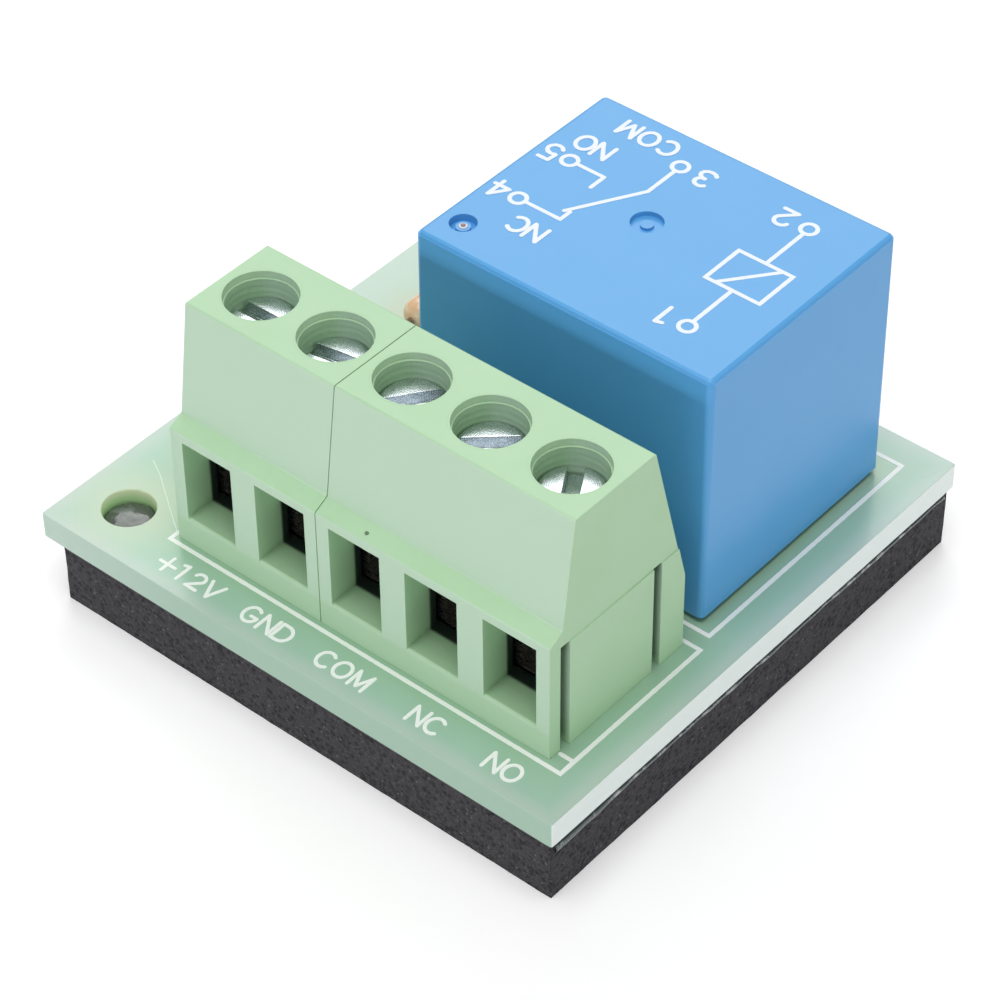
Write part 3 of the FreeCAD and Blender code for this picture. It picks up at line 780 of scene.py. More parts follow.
@dataclass(frozen=True)
class Ink(Finish):
    """Screen-printed ink: matt, a little uneven, thin over the grain below."""

    colour: Colour
    thin: Colour

    def paint(self, graph: Graph) -> None:
        """Opaque ink with thin spots.

        Args:
            graph: The material's nodes.
        """
        spots = graph.noise(0.11 * MM, 3.0, 0.6)
        thinned = graph.step(spots, 0.55, 0.78, 0.0, 0.8)
        graph.shade(Base_Color=graph.blend(thinned, self.colour, self.thin),
                    Roughness=0.55, Specular_IOR_Level=0.35)
        graph.bump(spots, 0.008 * MM, 0.6)


@dataclass(frozen=True)
class TintedGlass(Finish):
    """Sealed glass of a small diode: warm, clear, with a drawn skin."""

    colour: Colour = (0.95, 0.68, 0.42)
    deep: Colour = (0.92, 0.56, 0.31)

    def paint(self, graph: Graph) -> None:
        """Half-clear glass with streaks in its skin.

        Args:
            graph: The material's nodes.
        """
        streaks = graph.noise(0.3 * MM, 3.0, 0.5, (0.2, 1.0, 1.0))
        graph.shade(Base_Color=graph.blend(graph.step(streaks, 0.3, 0.7), self.colour, self.deep),
                    Roughness=0.12, IOR=1.5, Transmission_Weight=0.18, Coat_Weight=0.3)
        graph.bump(streaks, 0.006 * MM, 0.6)


@dataclass(frozen=True)
class Paintwork(Finish):
    """A band or coat of dark paint."""

    colour: Colour
    worn: Colour

    def paint(self, graph: Graph) -> None:
        """Dark coat with a few thin places.

        Args:
            graph: The material's nodes.
        """
        thin = graph.noise(0.15 * MM, 4.0, 0.6)
        graph.shade(Base_Color=graph.blend(graph.step(thin, 0.55, 0.8, 0.0, 0.5), self.colour, self.worn),
                    Roughness=graph.step(thin, 0.3, 0.8, 0.32, 0.55))
        graph.bump(thin, 0.01 * MM, 0.5)


class Palette:
    """Every finish of the board, made from the frame's own sizes."""

    HOLE_INSET = 3.3 * MM

    def __init__(self) -> None:
        """Read the places that the patterns need and set out the finishes."""
        self.set_board()
        self.set_terminals()
        self.set_relay()
        self.set_diode()

    def set_board(self) -> None:
        """Laminate, prints, solder, film and foam."""
        low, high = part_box("circuit_board")
        hole = (low.x + self.HOLE_INSET, low.y + self.HOLE_INSET)
        diode = tuple(middle("diode_body").xy)
        self.laminate = Laminate("green_laminate", "laminate", high.x, high.y, hole, diode)
        self.legend = Ink("legend_white", "laminate", (0.93, 0.96, 0.93), (0.74, 0.84, 0.76))
        # Painted light: pale line at the edge of the terminals' cast shadow.
        self.shadow_edge_light = Ink("mask_scratch", "laminate", (0.70, 0.84, 0.72), (0.55, 0.72, 0.58))
        self.solder = Solder("solder", "solder")
        self.foam = CellFoam("cell_foam", "foam")
        # Near black: the foam's dark through the clear film, and painted shade of the gap under the board's
        # edge.
        self.film = GlossFilm("gloss_film", "film", (0.012, 0.014, 0.014), (0.05, 0.06, 0.06))
        self.film_bulge = GlossFilm("pressed_film", "film", (0.065, 0.08, 0.07), (0.13, 0.155, 0.145))
        # Film lip: milky patches, partly painted highlights along the curl.
        self.film_edge = GlossFilm("milky_film", "film", (0.07, 0.10, 0.095), (0.55, 0.58, 0.58), 0.52)

    def set_terminals(self) -> None:
        """Green mouldings, clamp cages and contact bars."""
        first = middle("terminal_screw_1")
        self.terminal = TerminalPlastic(
            "terminal_green", "terminal_moulding", (0.430, 0.655, 0.410), (0.455, 0.680, 0.440),
            first_pole=first.x, axis_y=first.y)
        self.nib = MouldedPlastic("nib_green", "terminal_moulding", (0.10, 0.18, 0.10), (0.13, 0.22, 0.13))
        self.cage = Metal("bright_cage", "cage_metal", (0.62, 0.61, 0.58), (0.42, 0.41, 0.39),
                          scratch=(0.1, 1.0, 1.0))
        self.bar = Metal("tinned_brass", "terminal_metal", (0.72, 0.70, 0.64), (0.60, 0.52, 0.36),
                         scratch=(1.0, 0.12, 1.0))

    def set_relay(self) -> None:
        """Case with its print and plug, floor, magnet and contacts."""
        self.case = CasePlastic(
            "relay_blue", "relay_case", (0.093, 0.368, 0.735), (0.099, 0.380, 0.750), roughness=0.3,
            unevenness=0.02, grain=0.4 * MM, grain_depth=0.0015 * MM, mottle=1.4 * MM)
        self.print = Ink("case_print_white", "relay_case", (0.84, 0.89, 0.95), (0.56, 0.74, 0.92))
        self.vent_rim = Ink("vent_flash", "relay_case", (0.80, 0.80, 0.82), (0.66, 0.70, 0.78))
        self.vent_dot = Paintwork("vent_seal", "relay_case", (0.36, 0.24, 0.23), (0.50, 0.36, 0.34))
        self.floor = MouldedPlastic("relay_floor_black", "relay_floor", (0.030, 0.032, 0.035),
                                    (0.045, 0.047, 0.050), roughness=0.5)
        self.iron = Metal("nickel_iron", "iron", (0.66, 0.64, 0.60), (0.48, 0.46, 0.43),
                          roughness=0.36, scratch=(1.0, 0.15, 1.0))
        self.bobbin = MouldedPlastic("bobbin_black", "bobbin_plastic", (0.040, 0.040, 0.042),
                                     (0.060, 0.060, 0.062), roughness=0.48)
        self.wire = WoundWire("enamelled_wire", "copper_wire")
        self.spring = Metal("phosphor_bronze", "spring_alloy", (0.80, 0.52, 0.33), (0.60, 0.36, 0.20),
                            scratch=(0.1, 1.0, 1.0))
        self.silver = Metal("contact_silver", "silver", (0.88, 0.87, 0.84), (0.68, 0.66, 0.60),
                            roughness=0.22)
        self.contact = Metal("contact_brass", "contact_alloy", (0.82, 0.64, 0.36), (0.62, 0.45, 0.22),
                             scratch=(1.0, 1.0, 0.12))

    def set_diode(self) -> None:
        """Glass, band and tinned wire, which the coil's pins share."""
        self.glass = TintedGlass("diode_glass_warm", "diode_glass")
        self.band = Paintwork("diode_band_black", "diode_glass", (0.015, 0.015, 0.016), (0.06, 0.05, 0.045))
        self.tinned = Metal("tinned_wire", "tinned_pin", (0.76, 0.76, 0.75), (0.60, 0.60, 0.58),
                            roughness=0.25, scratch=(1.0, 1.0, 0.1))

    def screw(self, number: int) -> TurnedMetal:
        """Screw finish whose rings run round that screw's axis."""
        return TurnedMetal(f"zinc_screw_{number}", "screw_steel", (0.66, 0.70, 0.74), (0.46, 0.52, 0.55),
                           roughness=0.22, centre=tuple(middle(f"terminal_screw_{number}").xy))


def dress(node: str, finish: Finish) -> bpy.types.Object:
    """Give a CAD node its finish.

    Args:
        node: The node's name.
        finish: The finish to wear.

    Returns:
        The node's object.
    """
    piece = frame["nodes"][node]
    piece.material_slots[0].material = finish.material()
    log.info("dressed %s in %s", node, finish.name)
    return piece


def soften(piece: bpy.types.Object, width: float, angle: float = 30.0, merge_flats: bool = True) -> None:
    """Round a piece's sharp edges by a small radius, without touching its own mesh.

    Args:
        piece: The object to soften.
        width: Width of the rounding.
        angle: Least angle in degrees that counts as an edge.
        merge_flats: Whether flat faces are joined first; a piece with rings of small faces keeps
            them, and the normals that it came with.
    """
    weld = piece.modifiers.new("join_seams", "WELD")
    weld.merge_threshold = 0.001 * MM
    if merge_flats:
        flat = piece.modifiers.new("merge_flats", "DECIMATE")
        flat.decimate_type = "DISSOLVE"
        flat.angle_limit = math.radians(1.0)
    bevel = piece.modifiers.new("soft_edges", "BEVEL")
    bevel.width = width
    bevel.segments = 2
    bevel.limit_method = "ANGLE"
    bevel.angle_limit = math.radians(angle)
    bevel.use_clamp_overlap = True
    if merge_flats:
        normals = piece.modifiers.new("flat_faces_shade_flat", "WEIGHTED_NORMAL")
        normals.keep_sharp = False


def fixed_piece(name: str, mesh: bpy.types.Mesh, finish: Finish) -> bpy.types.Object:
    """Put a mesh in the scene as a piece that is fixed to the board.

    Args:
        name: The piece's name.
        mesh: Its mesh.
        finish: Its finish.

    Returns:
        The piece.
    """
    mesh.materials.append(finish.material())
    piece = bpy.data.objects.new(name, mesh)
    bpy.context.scene.collection.objects.link(piece)
    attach(piece, ROOT_BODY)
    return piece


def from_bmesh(name: str, bm: bmesh.types.BMesh, finish: Finish, smooth: bool = False) -> bpy.types.Object:
    """Turn a bmesh into a piece that is fixed to the board.

    Args:
        name: The piece's name.
        bm: The mesh data, freed here.
        finish: Its finish.
        smooth: Whether its faces shade smoothly.

    Returns:
        The piece.
    """
    bmesh.ops.recalc_face_normals(bm, faces=bm.faces)
    for face in bm.faces:
        face.smooth = smooth
    mesh = bpy.data.meshes.new(name)
    bm.to_mesh(mesh)
    bm.free()
    return fixed_piece(name, mesh, finish)


def turn_profile(bm: bmesh.types.BMesh, profile: Line, place: Matrix, sides: int = 48) -> None:
    """Turn a profile about its axis.

    Args:
        bm: The mesh to add to.
        profile: Points as (radius, height); a radius of 0 closes the end.
        place: Where the axis stands.
        sides: Faces round the axis.
    """
    rings = []
    for radius, height in profile:
        ring = []
        for i in range(sides if radius else 1):
            angle = 2 * math.pi * i / sides
            spot = Vector((radius * math.cos(angle), radius * math.sin(angle), height))
            ring.append(bm.verts.new(place @ spot))
        rings.append(ring)
    for low, high in zip(rings, rings[1:]):
        for i in range(sides):
            j = (i + 1) % sides
            corners = (low[i % len(low)], low[j % len(low)], high[j % len(high)], high[i % len(high)])
            unique = list(dict.fromkeys(corners))
            if len(unique) > 2:
                bm.faces.new(unique)


def turned_piece(name: str, finish: Finish, profile: Line, place: Matrix,
                 sides: int = 48) -> bpy.types.Object:
    """Smooth round piece, turned from one profile.

    Args:
        name: The piece's name.
        finish: Its finish.
        profile: Points as (radius, height).
        place: Where the axis stands.
        sides: Faces round the axis.

    Returns:
        The piece.
    """
    bm = bmesh.new()
    turn_profile(bm, profile, place, sides)
    return from_bmesh(name, bm, finish, smooth=True)


def swept_tube(bm: bmesh.types.BMesh, path: Sequence[Vector], radius: float, sides: int = 16) -> None:
    """Round wire along a path that lies in one upright plane across X.

    Args:
        bm: The mesh to add to.
        path: Points of its centre line.
        radius: Radius of the wire.
        sides: Faces round it.
    """
    side = Vector((1, 0, 0))
    rings = []
    for i, point in enumerate(path):
        ahead = path[min(i + 1, len(path) - 1)] - path[max(i - 1, 0)]
        up = ahead.normalized().cross(side)
        ring = []
        for k in range(sides):
            angle = 2 * math.pi * k / sides
            ring.append(bm.verts.new(point + radius * (math.cos(angle) * up + math.sin(angle) * side)))
        rings.append(ring)
    for low, high in zip(rings, rings[1:]):
        for k in range(sides):
            bm.faces.new([low[k], low[(k + 1) % sides], high[(k + 1) % sides], high[k]])
    bm.faces.new(rings[0])
    bm.faces.new(rings[-1])


@dataclass
class Pen:
    """Lays printed lines as thin raised strips on a level surface, each a hair above the one before."""

    width: float
    bottom: float
    thickness: float
    roughness: float = 0.05
    step: float = 0.18 * MM
    rag: float = 0.2 * MM
    cap_steps: int = 5
    overlap_rise: float = 0.0006 * MM
    sharpest_turn: float = 50.0
    least_mitre: float = 0.75

    def even_steps(self, points: Line, closed: bool) -> list[Vector]:
        """Points along a line at short, even steps.

        Args:
            points: Corners of the line.
            closed: Whether it runs back to its start.

        Returns:
            Points that follow it.
        """
        corners = [Vector(p) for p in points]
        if closed:
            corners.append(corners[0])
        path = [corners[0]]
        for start, end in zip(corners, corners[1:]):
            count = max(1, round((end - start).length / self.step))
            path += [start.lerp(end, (i + 1) / count) for i in range(count)]
        return path[:-1] if closed else path

    def draw(self, bm: bmesh.types.BMesh, points: Line, closed: bool = False) -> None:
        """Add one line, lifting the pen at each sharp turn of an open one.

        Args:
            bm: The mesh to add to.
            points: Corners of the line.
            closed: Whether it runs back to its start.
        """
        if closed:
            self.draw_stroke(bm, points, True)
            return
        stroke = [points[0]]
        for before, corner, after in zip(points, points[1:], points[2:]):
            stroke.append(corner)
            turn = (Vector(corner) - Vector(before)).angle(Vector(after) - Vector(corner))
            if math.degrees(turn) > self.sharpest_turn:
                self.draw_stroke(bm, stroke, False)
                stroke = [corner]
        stroke.append(points[-1])
        self.draw_stroke(bm, stroke, False)

    def sides(self, path: Sequence[Vector], closed: bool) -> list[tuple[Vector, Vector]]:
        """Left and right edge of the ink at each point of a path.

        Args:
            path: Points of the centre line.
            closed: Whether it runs back to its start.

        Returns:
            A pair of places for each point.
        """
        count = len(path)
        pairs = []
        for i, point in enumerate(path):
            before = path[i - 1] if closed or i else path[0]
            after = path[(i + 1) % count] if closed or i + 1 < count else path[-1]
            ahead = (after - before).normalized()
            across = Vector((-ahead.y, ahead.x))
            ragged = noise.noise(Vector((point.x, point.y, 0.0)) / self.rag)
            half = self.width / 2 * (1 + self.roughness * ragged)
            turn = abs(ahead.dot((after - point).normalized())) if (after - point).length else 1.0
            half /= max(turn, self.least_mitre)
            pairs.append((point + across * half, point - across * half))
        return pairs

    def draw_stroke(self, bm: bmesh.types.BMesh, points: Line, closed: bool) -> None:
        """Add one stretch of a line without lifting the pen.

        Args:
            bm: The mesh to add to.
            points: Corners of the stretch.
            closed: Whether it runs back to its start.
        """
        self.thickness += self.overlap_rise
        path = self.even_steps(points, closed)
        sides = self.sides(path, closed)
        under, over = [[(bm.verts.new((*left, z)), bm.verts.new((*right, z))) for left, right in sides]
                       for z in (self.bottom, self.bottom + self.thickness)]
        count = len(path)
        for i in range(count if closed else count - 1):
            j = (i + 1) % count
            bm.faces.new([over[i][0], over[i][1], over[j][1], over[j][0]])
            bm.faces.new([under[i][0], under[j][0], under[j][1], under[i][1]])
            for k in (0, 1):
                bm.faces.new([under[i][k], over[i][k], over[j][k], under[j][k]])
        if not closed:
            self.cap(bm, path[0], path[0] - path[1], under[0], over[0])
            self.cap(bm, path[-1], path[-1] - path[-2], under[-1], over[-1])

    def cap(self, bm: bmesh.types.BMesh, centre: Vector, outward: Vector, under: tuple, over: tuple) -> None:
        """Round off one end of a line.

        Args:
            bm: The mesh to add to.
            centre: End of the centre line.
            outward: Direction away from the line.
            under: The end's two lower corners.
            over: The end's two upper corners.
        """
        out = outward.normalized()
        across = Vector((-out.y, out.x))
        first, last = (0, 1) if (over[0].co.xy - centre).dot(across) > 0 else (1, 0)
        low, high = [under[first]], [over[first]]
        for i in range(1, self.cap_steps):
            angle = math.pi * i / self.cap_steps
            spot = centre + self.width / 2 * (math.cos(angle) * across + math.sin(angle) * out)
            low.append(bm.verts.new((*spot, self.bottom)))
            high.append(bm.verts.new((*spot, self.bottom + self.thickness)))
        low.append(under[last])
        high.append(over[last])
        bm.faces.new(low)
        bm.faces.new(high)
        for i in range(len(low) - 1):
            bm.faces.new([low[i], high[i], high[i + 1], low[i + 1]])


def arc(centre: Point2, radii: Point2, start: float, stop: float, steps: int = 12) -> tuple[Point2, ...]:
    """Points along an ellipse.

    Args:
        centre: Its centre.
        radii: Its two radii.
        start: First angle in degrees.
        stop: Last angle in degrees.
        steps: Stretches between the two.

    Returns:
        The points.
    """
    angles = [math.radians(start + (stop - start) * i / steps) for i in range(steps + 1)]
    return tuple((centre[0] + radii[0] * math.cos(a), centre[1] + radii[1] * math.sin(a)) for a in angles)


@dataclass(frozen=True)
class Glyph:
    """A drawn letter, one unit high."""

    advance: float
    lines: tuple[Line, ...]


class PlainLettering:
    """Single-stroke letters and figures, as board legends are drawn."""

    BOWL = ((0.42, 0.5), (0.42, 0.5))

    def __init__(self) -> None:
        """Draw each letter that the board's legends need."""
        two = (*arc((0.31, 0.70), (0.31, 0.29), 165, -28, 9), (0.0, 0.0), (0.66, 0.0))
        three = (*arc((0.28, 0.75), (0.28, 0.25), 150, -90, 8), *arc((0.28, 0.26), (0.34, 0.26), 90, -150, 8))
        five = ((0.58, 1.0), (0.10, 1.0), (0.05, 0.56), *arc((0.28, 0.30), (0.32, 0.30), 125, -150, 9))
        dee = ((0.0, 0.0), (0.0, 1.0), (0.32, 1.0), *arc((0.32, 0.5), (0.48, 0.5), 80, -80, 8),
               (0.32, 0.0), (0.0, 0.0))
        self.glyphs = {
            "+": Glyph(1.13, (((0.0, 0.47), (0.94, 0.47)), ((0.47, 0.0), (0.47, 0.94)))),
            "1": Glyph(0.88, (((0.02, 0.92), (0.30, 1.0), (0.30, 0.0)),)),
            "2": Glyph(0.89, (two,)),
            "3": Glyph(0.90, (three,)),
            "4": Glyph(0.92, (((0.50, 0.0), (0.50, 1.0), (0.0, 0.30), (0.70, 0.30)),)),
            "5": Glyph(0.90, (five,)),
            "V": Glyph(0.95, (((0.0, 1.0), (0.41, 0.0), (0.82, 1.0)),)),
            "G": Glyph(1.10, ((*arc(*self.BOWL, 48, 338, 14), (0.82, 0.42), (0.46, 0.42)),)),
            "N": Glyph(0.92, (((0.0, 0.0), (0.0, 1.0), (0.72, 0.0), (0.72, 1.0)),)),
            "D": Glyph(1.05, (dee,)),
            "C": Glyph(1.03, (arc(*self.BOWL, 48, 312, 13),)),
            "O": Glyph(1.12, (arc(*self.BOWL, 90, 450, 20),)),
            "M": Glyph(1.0, (((0.0, 0.0), (0.0, 1.0), (0.40, 0.12), (0.80, 1.0), (0.80, 0.0)),)),
        }

    def write(self, bm: bmesh.types.BMesh, pen: Pen, text: str, start: Point2, height: float,
              facing: Facing = Facing.FRONT) -> None:
        """Write a short text.

        Args:
            bm: The mesh to add to.
            pen: The pen that draws it.
            text: Letters that the lettering has.
            start: Foot of the first letter.
            height: Height of a letter.
            facing: Side from which it reads.
        """
        turn = Matrix.Rotation(facing.value, 2)
        along = 0.0
        for letter in text:
            glyph = self.glyphs[letter]
            for line in glyph.lines:
                spots = [tuple(Vector(start) + turn @ (Vector((along + x, y)) * height)) for x, y in line]
                whole = math.dist(line[0], line[-1]) < 0.01
                pen.draw(bm, spots[:-1] if whole else spots, closed=whole)
            along += glyph.advance


@dataclass(frozen=True)
class Softbox:
    """A square-cornered lamp: where it stands, its width and height, and its power in watts."""

    name: str
    place: Point3
    size: Point2
    power: float


@dataclass
class Studio:
    """Floor, light and camera for a plain product photograph."""

    aim_mm: Point3 = (2.776, -3.4025, 8.5545)
    camera_mm: Point3 = (90.764, -106.551, 131.631)
    roll_deg: float = -0.524
    lens: float = 126.26
    sensor: float = 36.0
    clip: Point2 = (0.01, 10.0)
    floor_size: float = 1.2
    floor_glow: float = 0.24
    world_strength: float = 0.32
    lamps: tuple[Softbox, ...] = (
        Softbox("back_softbox", (-0.216, 0.253, 0.311), (0.28, 0.28), 0.65),
        Softbox("top_softbox", (0.02, -0.07, 0.43), (0.32, 0.32), 1.12),
        Softbox("front_softbox", (0.03, -0.45, 0.015), (0.40, 0.04), 0.55),
        Softbox("right_softbox", (0.45, 0.05, 0.06), (0.30, 0.10), 0.30))

    def build(self) -> None:
        """Make everything that isn't part of the object."""
        self.build_floor()
        self.build_world()
        for lamp in self.lamps:
            self.build_lamp(lamp)
        self.build_camera()

    def build_floor(self) -> None:
        """Pale floor that keeps the object's shadow and looks white to the camera."""
        half = self.floor_size / 2
        corners = ((-half, -half), (half, -half), (half, half), (-half, half))
        bm = bmesh.new()
        bm.faces.new([bm.verts.new((x, y, 0.0)) for x, y in corners])
        mesh = bpy.data.meshes.new("studio_floor")
        bm.to_mesh(mesh)
        bm.free()
        mesh.materials.append(self.floor_material())
        floor = bpy.data.objects.new("studio_floor", mesh)
        bpy.context.scene.collection.objects.link(floor)

    def floor_material(self) -> bpy.types.Material:
        """Paper that glows for what the camera, a mirror or glass sees of it.

        Returns:
            The material.
        """
        graph = Graph("floor_white")
        rays = graph.node("ShaderNodeLightPath", {}).outputs
        seen = graph.math("MAXIMUM", rays["Is Camera Ray"], rays["Is Glossy Ray"])
        seen = graph.math("MAXIMUM", seen, rays["Is Transmission Ray"])
        paper = graph.noise(2 * MM, 2.0)
        graph.shade(Base_Color=graph.blend(paper, (0.84, 0.84, 0.84), (0.86, 0.86, 0.86)), Roughness=0.9,
                    Specular_IOR_Level=0.0, Emission_Color=rgba((1.0, 1.0, 1.0)),
                    Emission_Strength=graph.times(seen, self.floor_glow))
        return graph.material

    def build_world(self) -> None:
        """Even white surroundings, pure white to the camera."""
        world = bpy.data.worlds.new("studio_world")
        world.use_nodes = True
        nodes, links = world.node_tree.nodes, world.node_tree.links
        background = nodes["Background"]
        background.inputs["Color"].default_value = rgba((1.0, 1.0, 1.0))
        rays = nodes.new("ShaderNodeLightPath")
        strength = nodes.new("ShaderNodeMix")
        strength.data_type = "FLOAT"
        strength.inputs[2].default_value = self.world_strength
        strength.inputs[3].default_value = 1.0
        links.new(rays.outputs["Is Camera Ray"], strength.inputs[0])
        links.new(strength.outputs[0], background.inputs["Strength"])
        bpy.context.scene.world = world

    def build_lamp(self, box: Softbox) -> None:
        """Softbox aimed at the object.

        Args:
            box: The lamp to build.
        """
        light = bpy.data.lights.new(box.name, "AREA")
        light.shape = "RECTANGLE"
        light.size, light.size_y = box.size
        light.energy = box.power
        lamp = bpy.data.objects.new(box.name, light)
        lamp.location = box.place
        aim = Vector(self.aim_mm) * MM
        lamp.rotation_euler = (Vector(box.place) - aim).to_track_quat("Z", "Y").to_euler()
        bpy.context.scene.collection.objects.link(lamp)

    def build_camera(self) -> None:
        """Camera at the photograph's viewing angle."""
        data = bpy.data.cameras.new("camera")
        data.lens = self.lens
        data.sensor_fit = "HORIZONTAL"
        data.sensor_width = self.sensor
        data.clip_start, data.clip_end = self.clip
        place = Vector(self.camera_mm)
        back = (place - Vector(self.aim_mm)).normalized()
        level = Vector((0, 0, 1)).cross(back).normalized()
        upright = back.cross(level)
        roll = math.radians(self.roll_deg)
        right = math.cos(roll) * level + math.sin(roll) * upright
        up = -math.sin(roll) * level + math.cos(roll) * upright
        turn = Matrix((right, up, back)).transposed().to_4x4()
        camera = bpy.data.objects.new("camera", data)
        camera.matrix_world = Matrix.Translation(place * MM) @ turn
        bpy.context.scene.collection.objects.link(camera)
        bpy.context.scene.camera = camera
        bpy.context.scene.view_settings.view_transform = "Standard"


@dataclass
class Underlay:
    """Foam pad and the film that holds it to the board."""

    palette: Palette
    voxel: float = 0.28 * MM
    ragged: float = 0.035 * MM
    film_drop: float = 0.6 * MM
    film_stand_off: float = 0.06 * MM
    film_start: float = 0.2 * MM
    film_sink: float = 0.02 * MM
    film_thickness: float = 0.02 * MM
    end_gap: float = 0.3 * MM
    steps_along: int = 150
    steps_down: int = 6

    def build(self) -> None:
        """Make the foam and the film."""
        self.build_foam()
        dress("adhesive_film", self.palette.film)
        self.build_film_edge()

    def build_foam(self) -> None:
        """Cut foam block: slightly ragged sides around the form of the CAD pad."""
        mesh = frame["nodes"]["foam_pad"].data.copy()
        mesh.name = "cut_foam"
        mesh.materials.clear()
        pad = fixed_piece("cut_foam", mesh, self.palette.foam)
        weld = pad.modifiers.new("weld", "WELD")
        weld.merge_threshold = 0.001 * MM
        remesh = pad.modifiers.new("remesh", "REMESH")
        remesh.mode = "VOXEL"
        remesh.voxel_size = self.voxel
        remesh.use_smooth_shade = True
        bpy.context.view_layer.update()
        evaluated = pad.evaluated_get(bpy.context.evaluated_depsgraph_get())
        fine = bpy.data.meshes.new_from_object(evaluated)
        pad.modifiers.clear()
        pad.data = fine
        low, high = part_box("foam_pad")
        for vertex in fine.vertices:
            self.roughen(vertex, low, high)
        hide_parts("foam_pad")

    def roughen(self, vertex: bpy.types.MeshVertex, low: Vector, high: Vector) -> None:
        """Sink one point of a cut side by a small uneven amount, and keep top and bottom level.

        Args:
            vertex: The point.
            low: The pad's lowest corner.
            high: Its highest corner.
        """
        point = vertex.co.copy()
        coarse = noise.noise(point / (2.6 * MM)) * 0.5 + 0.5
        fine = noise.noise(point / (0.9 * MM)) * 0.5 + 0.5
        sink = self.ragged * (coarse + fine)
        for axis in range(3):
            depth = sink if axis < 2 else 0.0
            if point[axis] - low[axis] < self.voxel:
                vertex.co[axis] = low[axis] + depth
            elif high[axis] - point[axis] < self.voxel:
                vertex.co[axis] = high[axis] - depth

    def build_film_edge(self) -> None:
        """Lip of film that curls out of the right edge and lies down over the foam's side."""
        low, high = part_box("adhesive_film")
        length = high.y - low.y - 2 * self.end_gap
        bm = bmesh.new()
        rows = []
        for i in range(self.steps_along + 1):
            y = low.y + self.end_gap + length * i / self.steps_along
            wave = noise.noise(Vector((0.0, y / (1.6 * MM), 3.0)))
            slow = noise.noise(Vector((5.0, y / (5.5 * MM), 1.0)))
            front = smoothstep(low.y + 9 * MM - y, 0, 9 * MM)
            drop = self.film_drop * (0.42 + 0.5 * front + 0.22 * wave + 0.2 * slow)
            lift = self.film_stand_off * (1.0 + 0.8 * wave + 1.1 * front)
            row = []
            for k in range(self.steps_down + 1):
                share = k / self.steps_down
                x = high.x - self.film_sink + lift * math.sin(math.pi * min(share * 1.15, 1.0))
                row.append(bm.verts.new((x, y, high.z - self.film_start - drop * share)))
            rows.append(row)
        for a, b in zip(rows, rows[1:]):
            for k in range(self.steps_down):
                bm.faces.new([a[k], a[k + 1], b[k + 1], b[k]])
        piece = from_bmesh("film_edge", bm, self.palette.film_edge, smooth=True)
        thick = piece.modifiers.new("film_thickness", "SOLIDIFY")
        thick.thickness = self.film_thickness
        thick.offset = 0.0


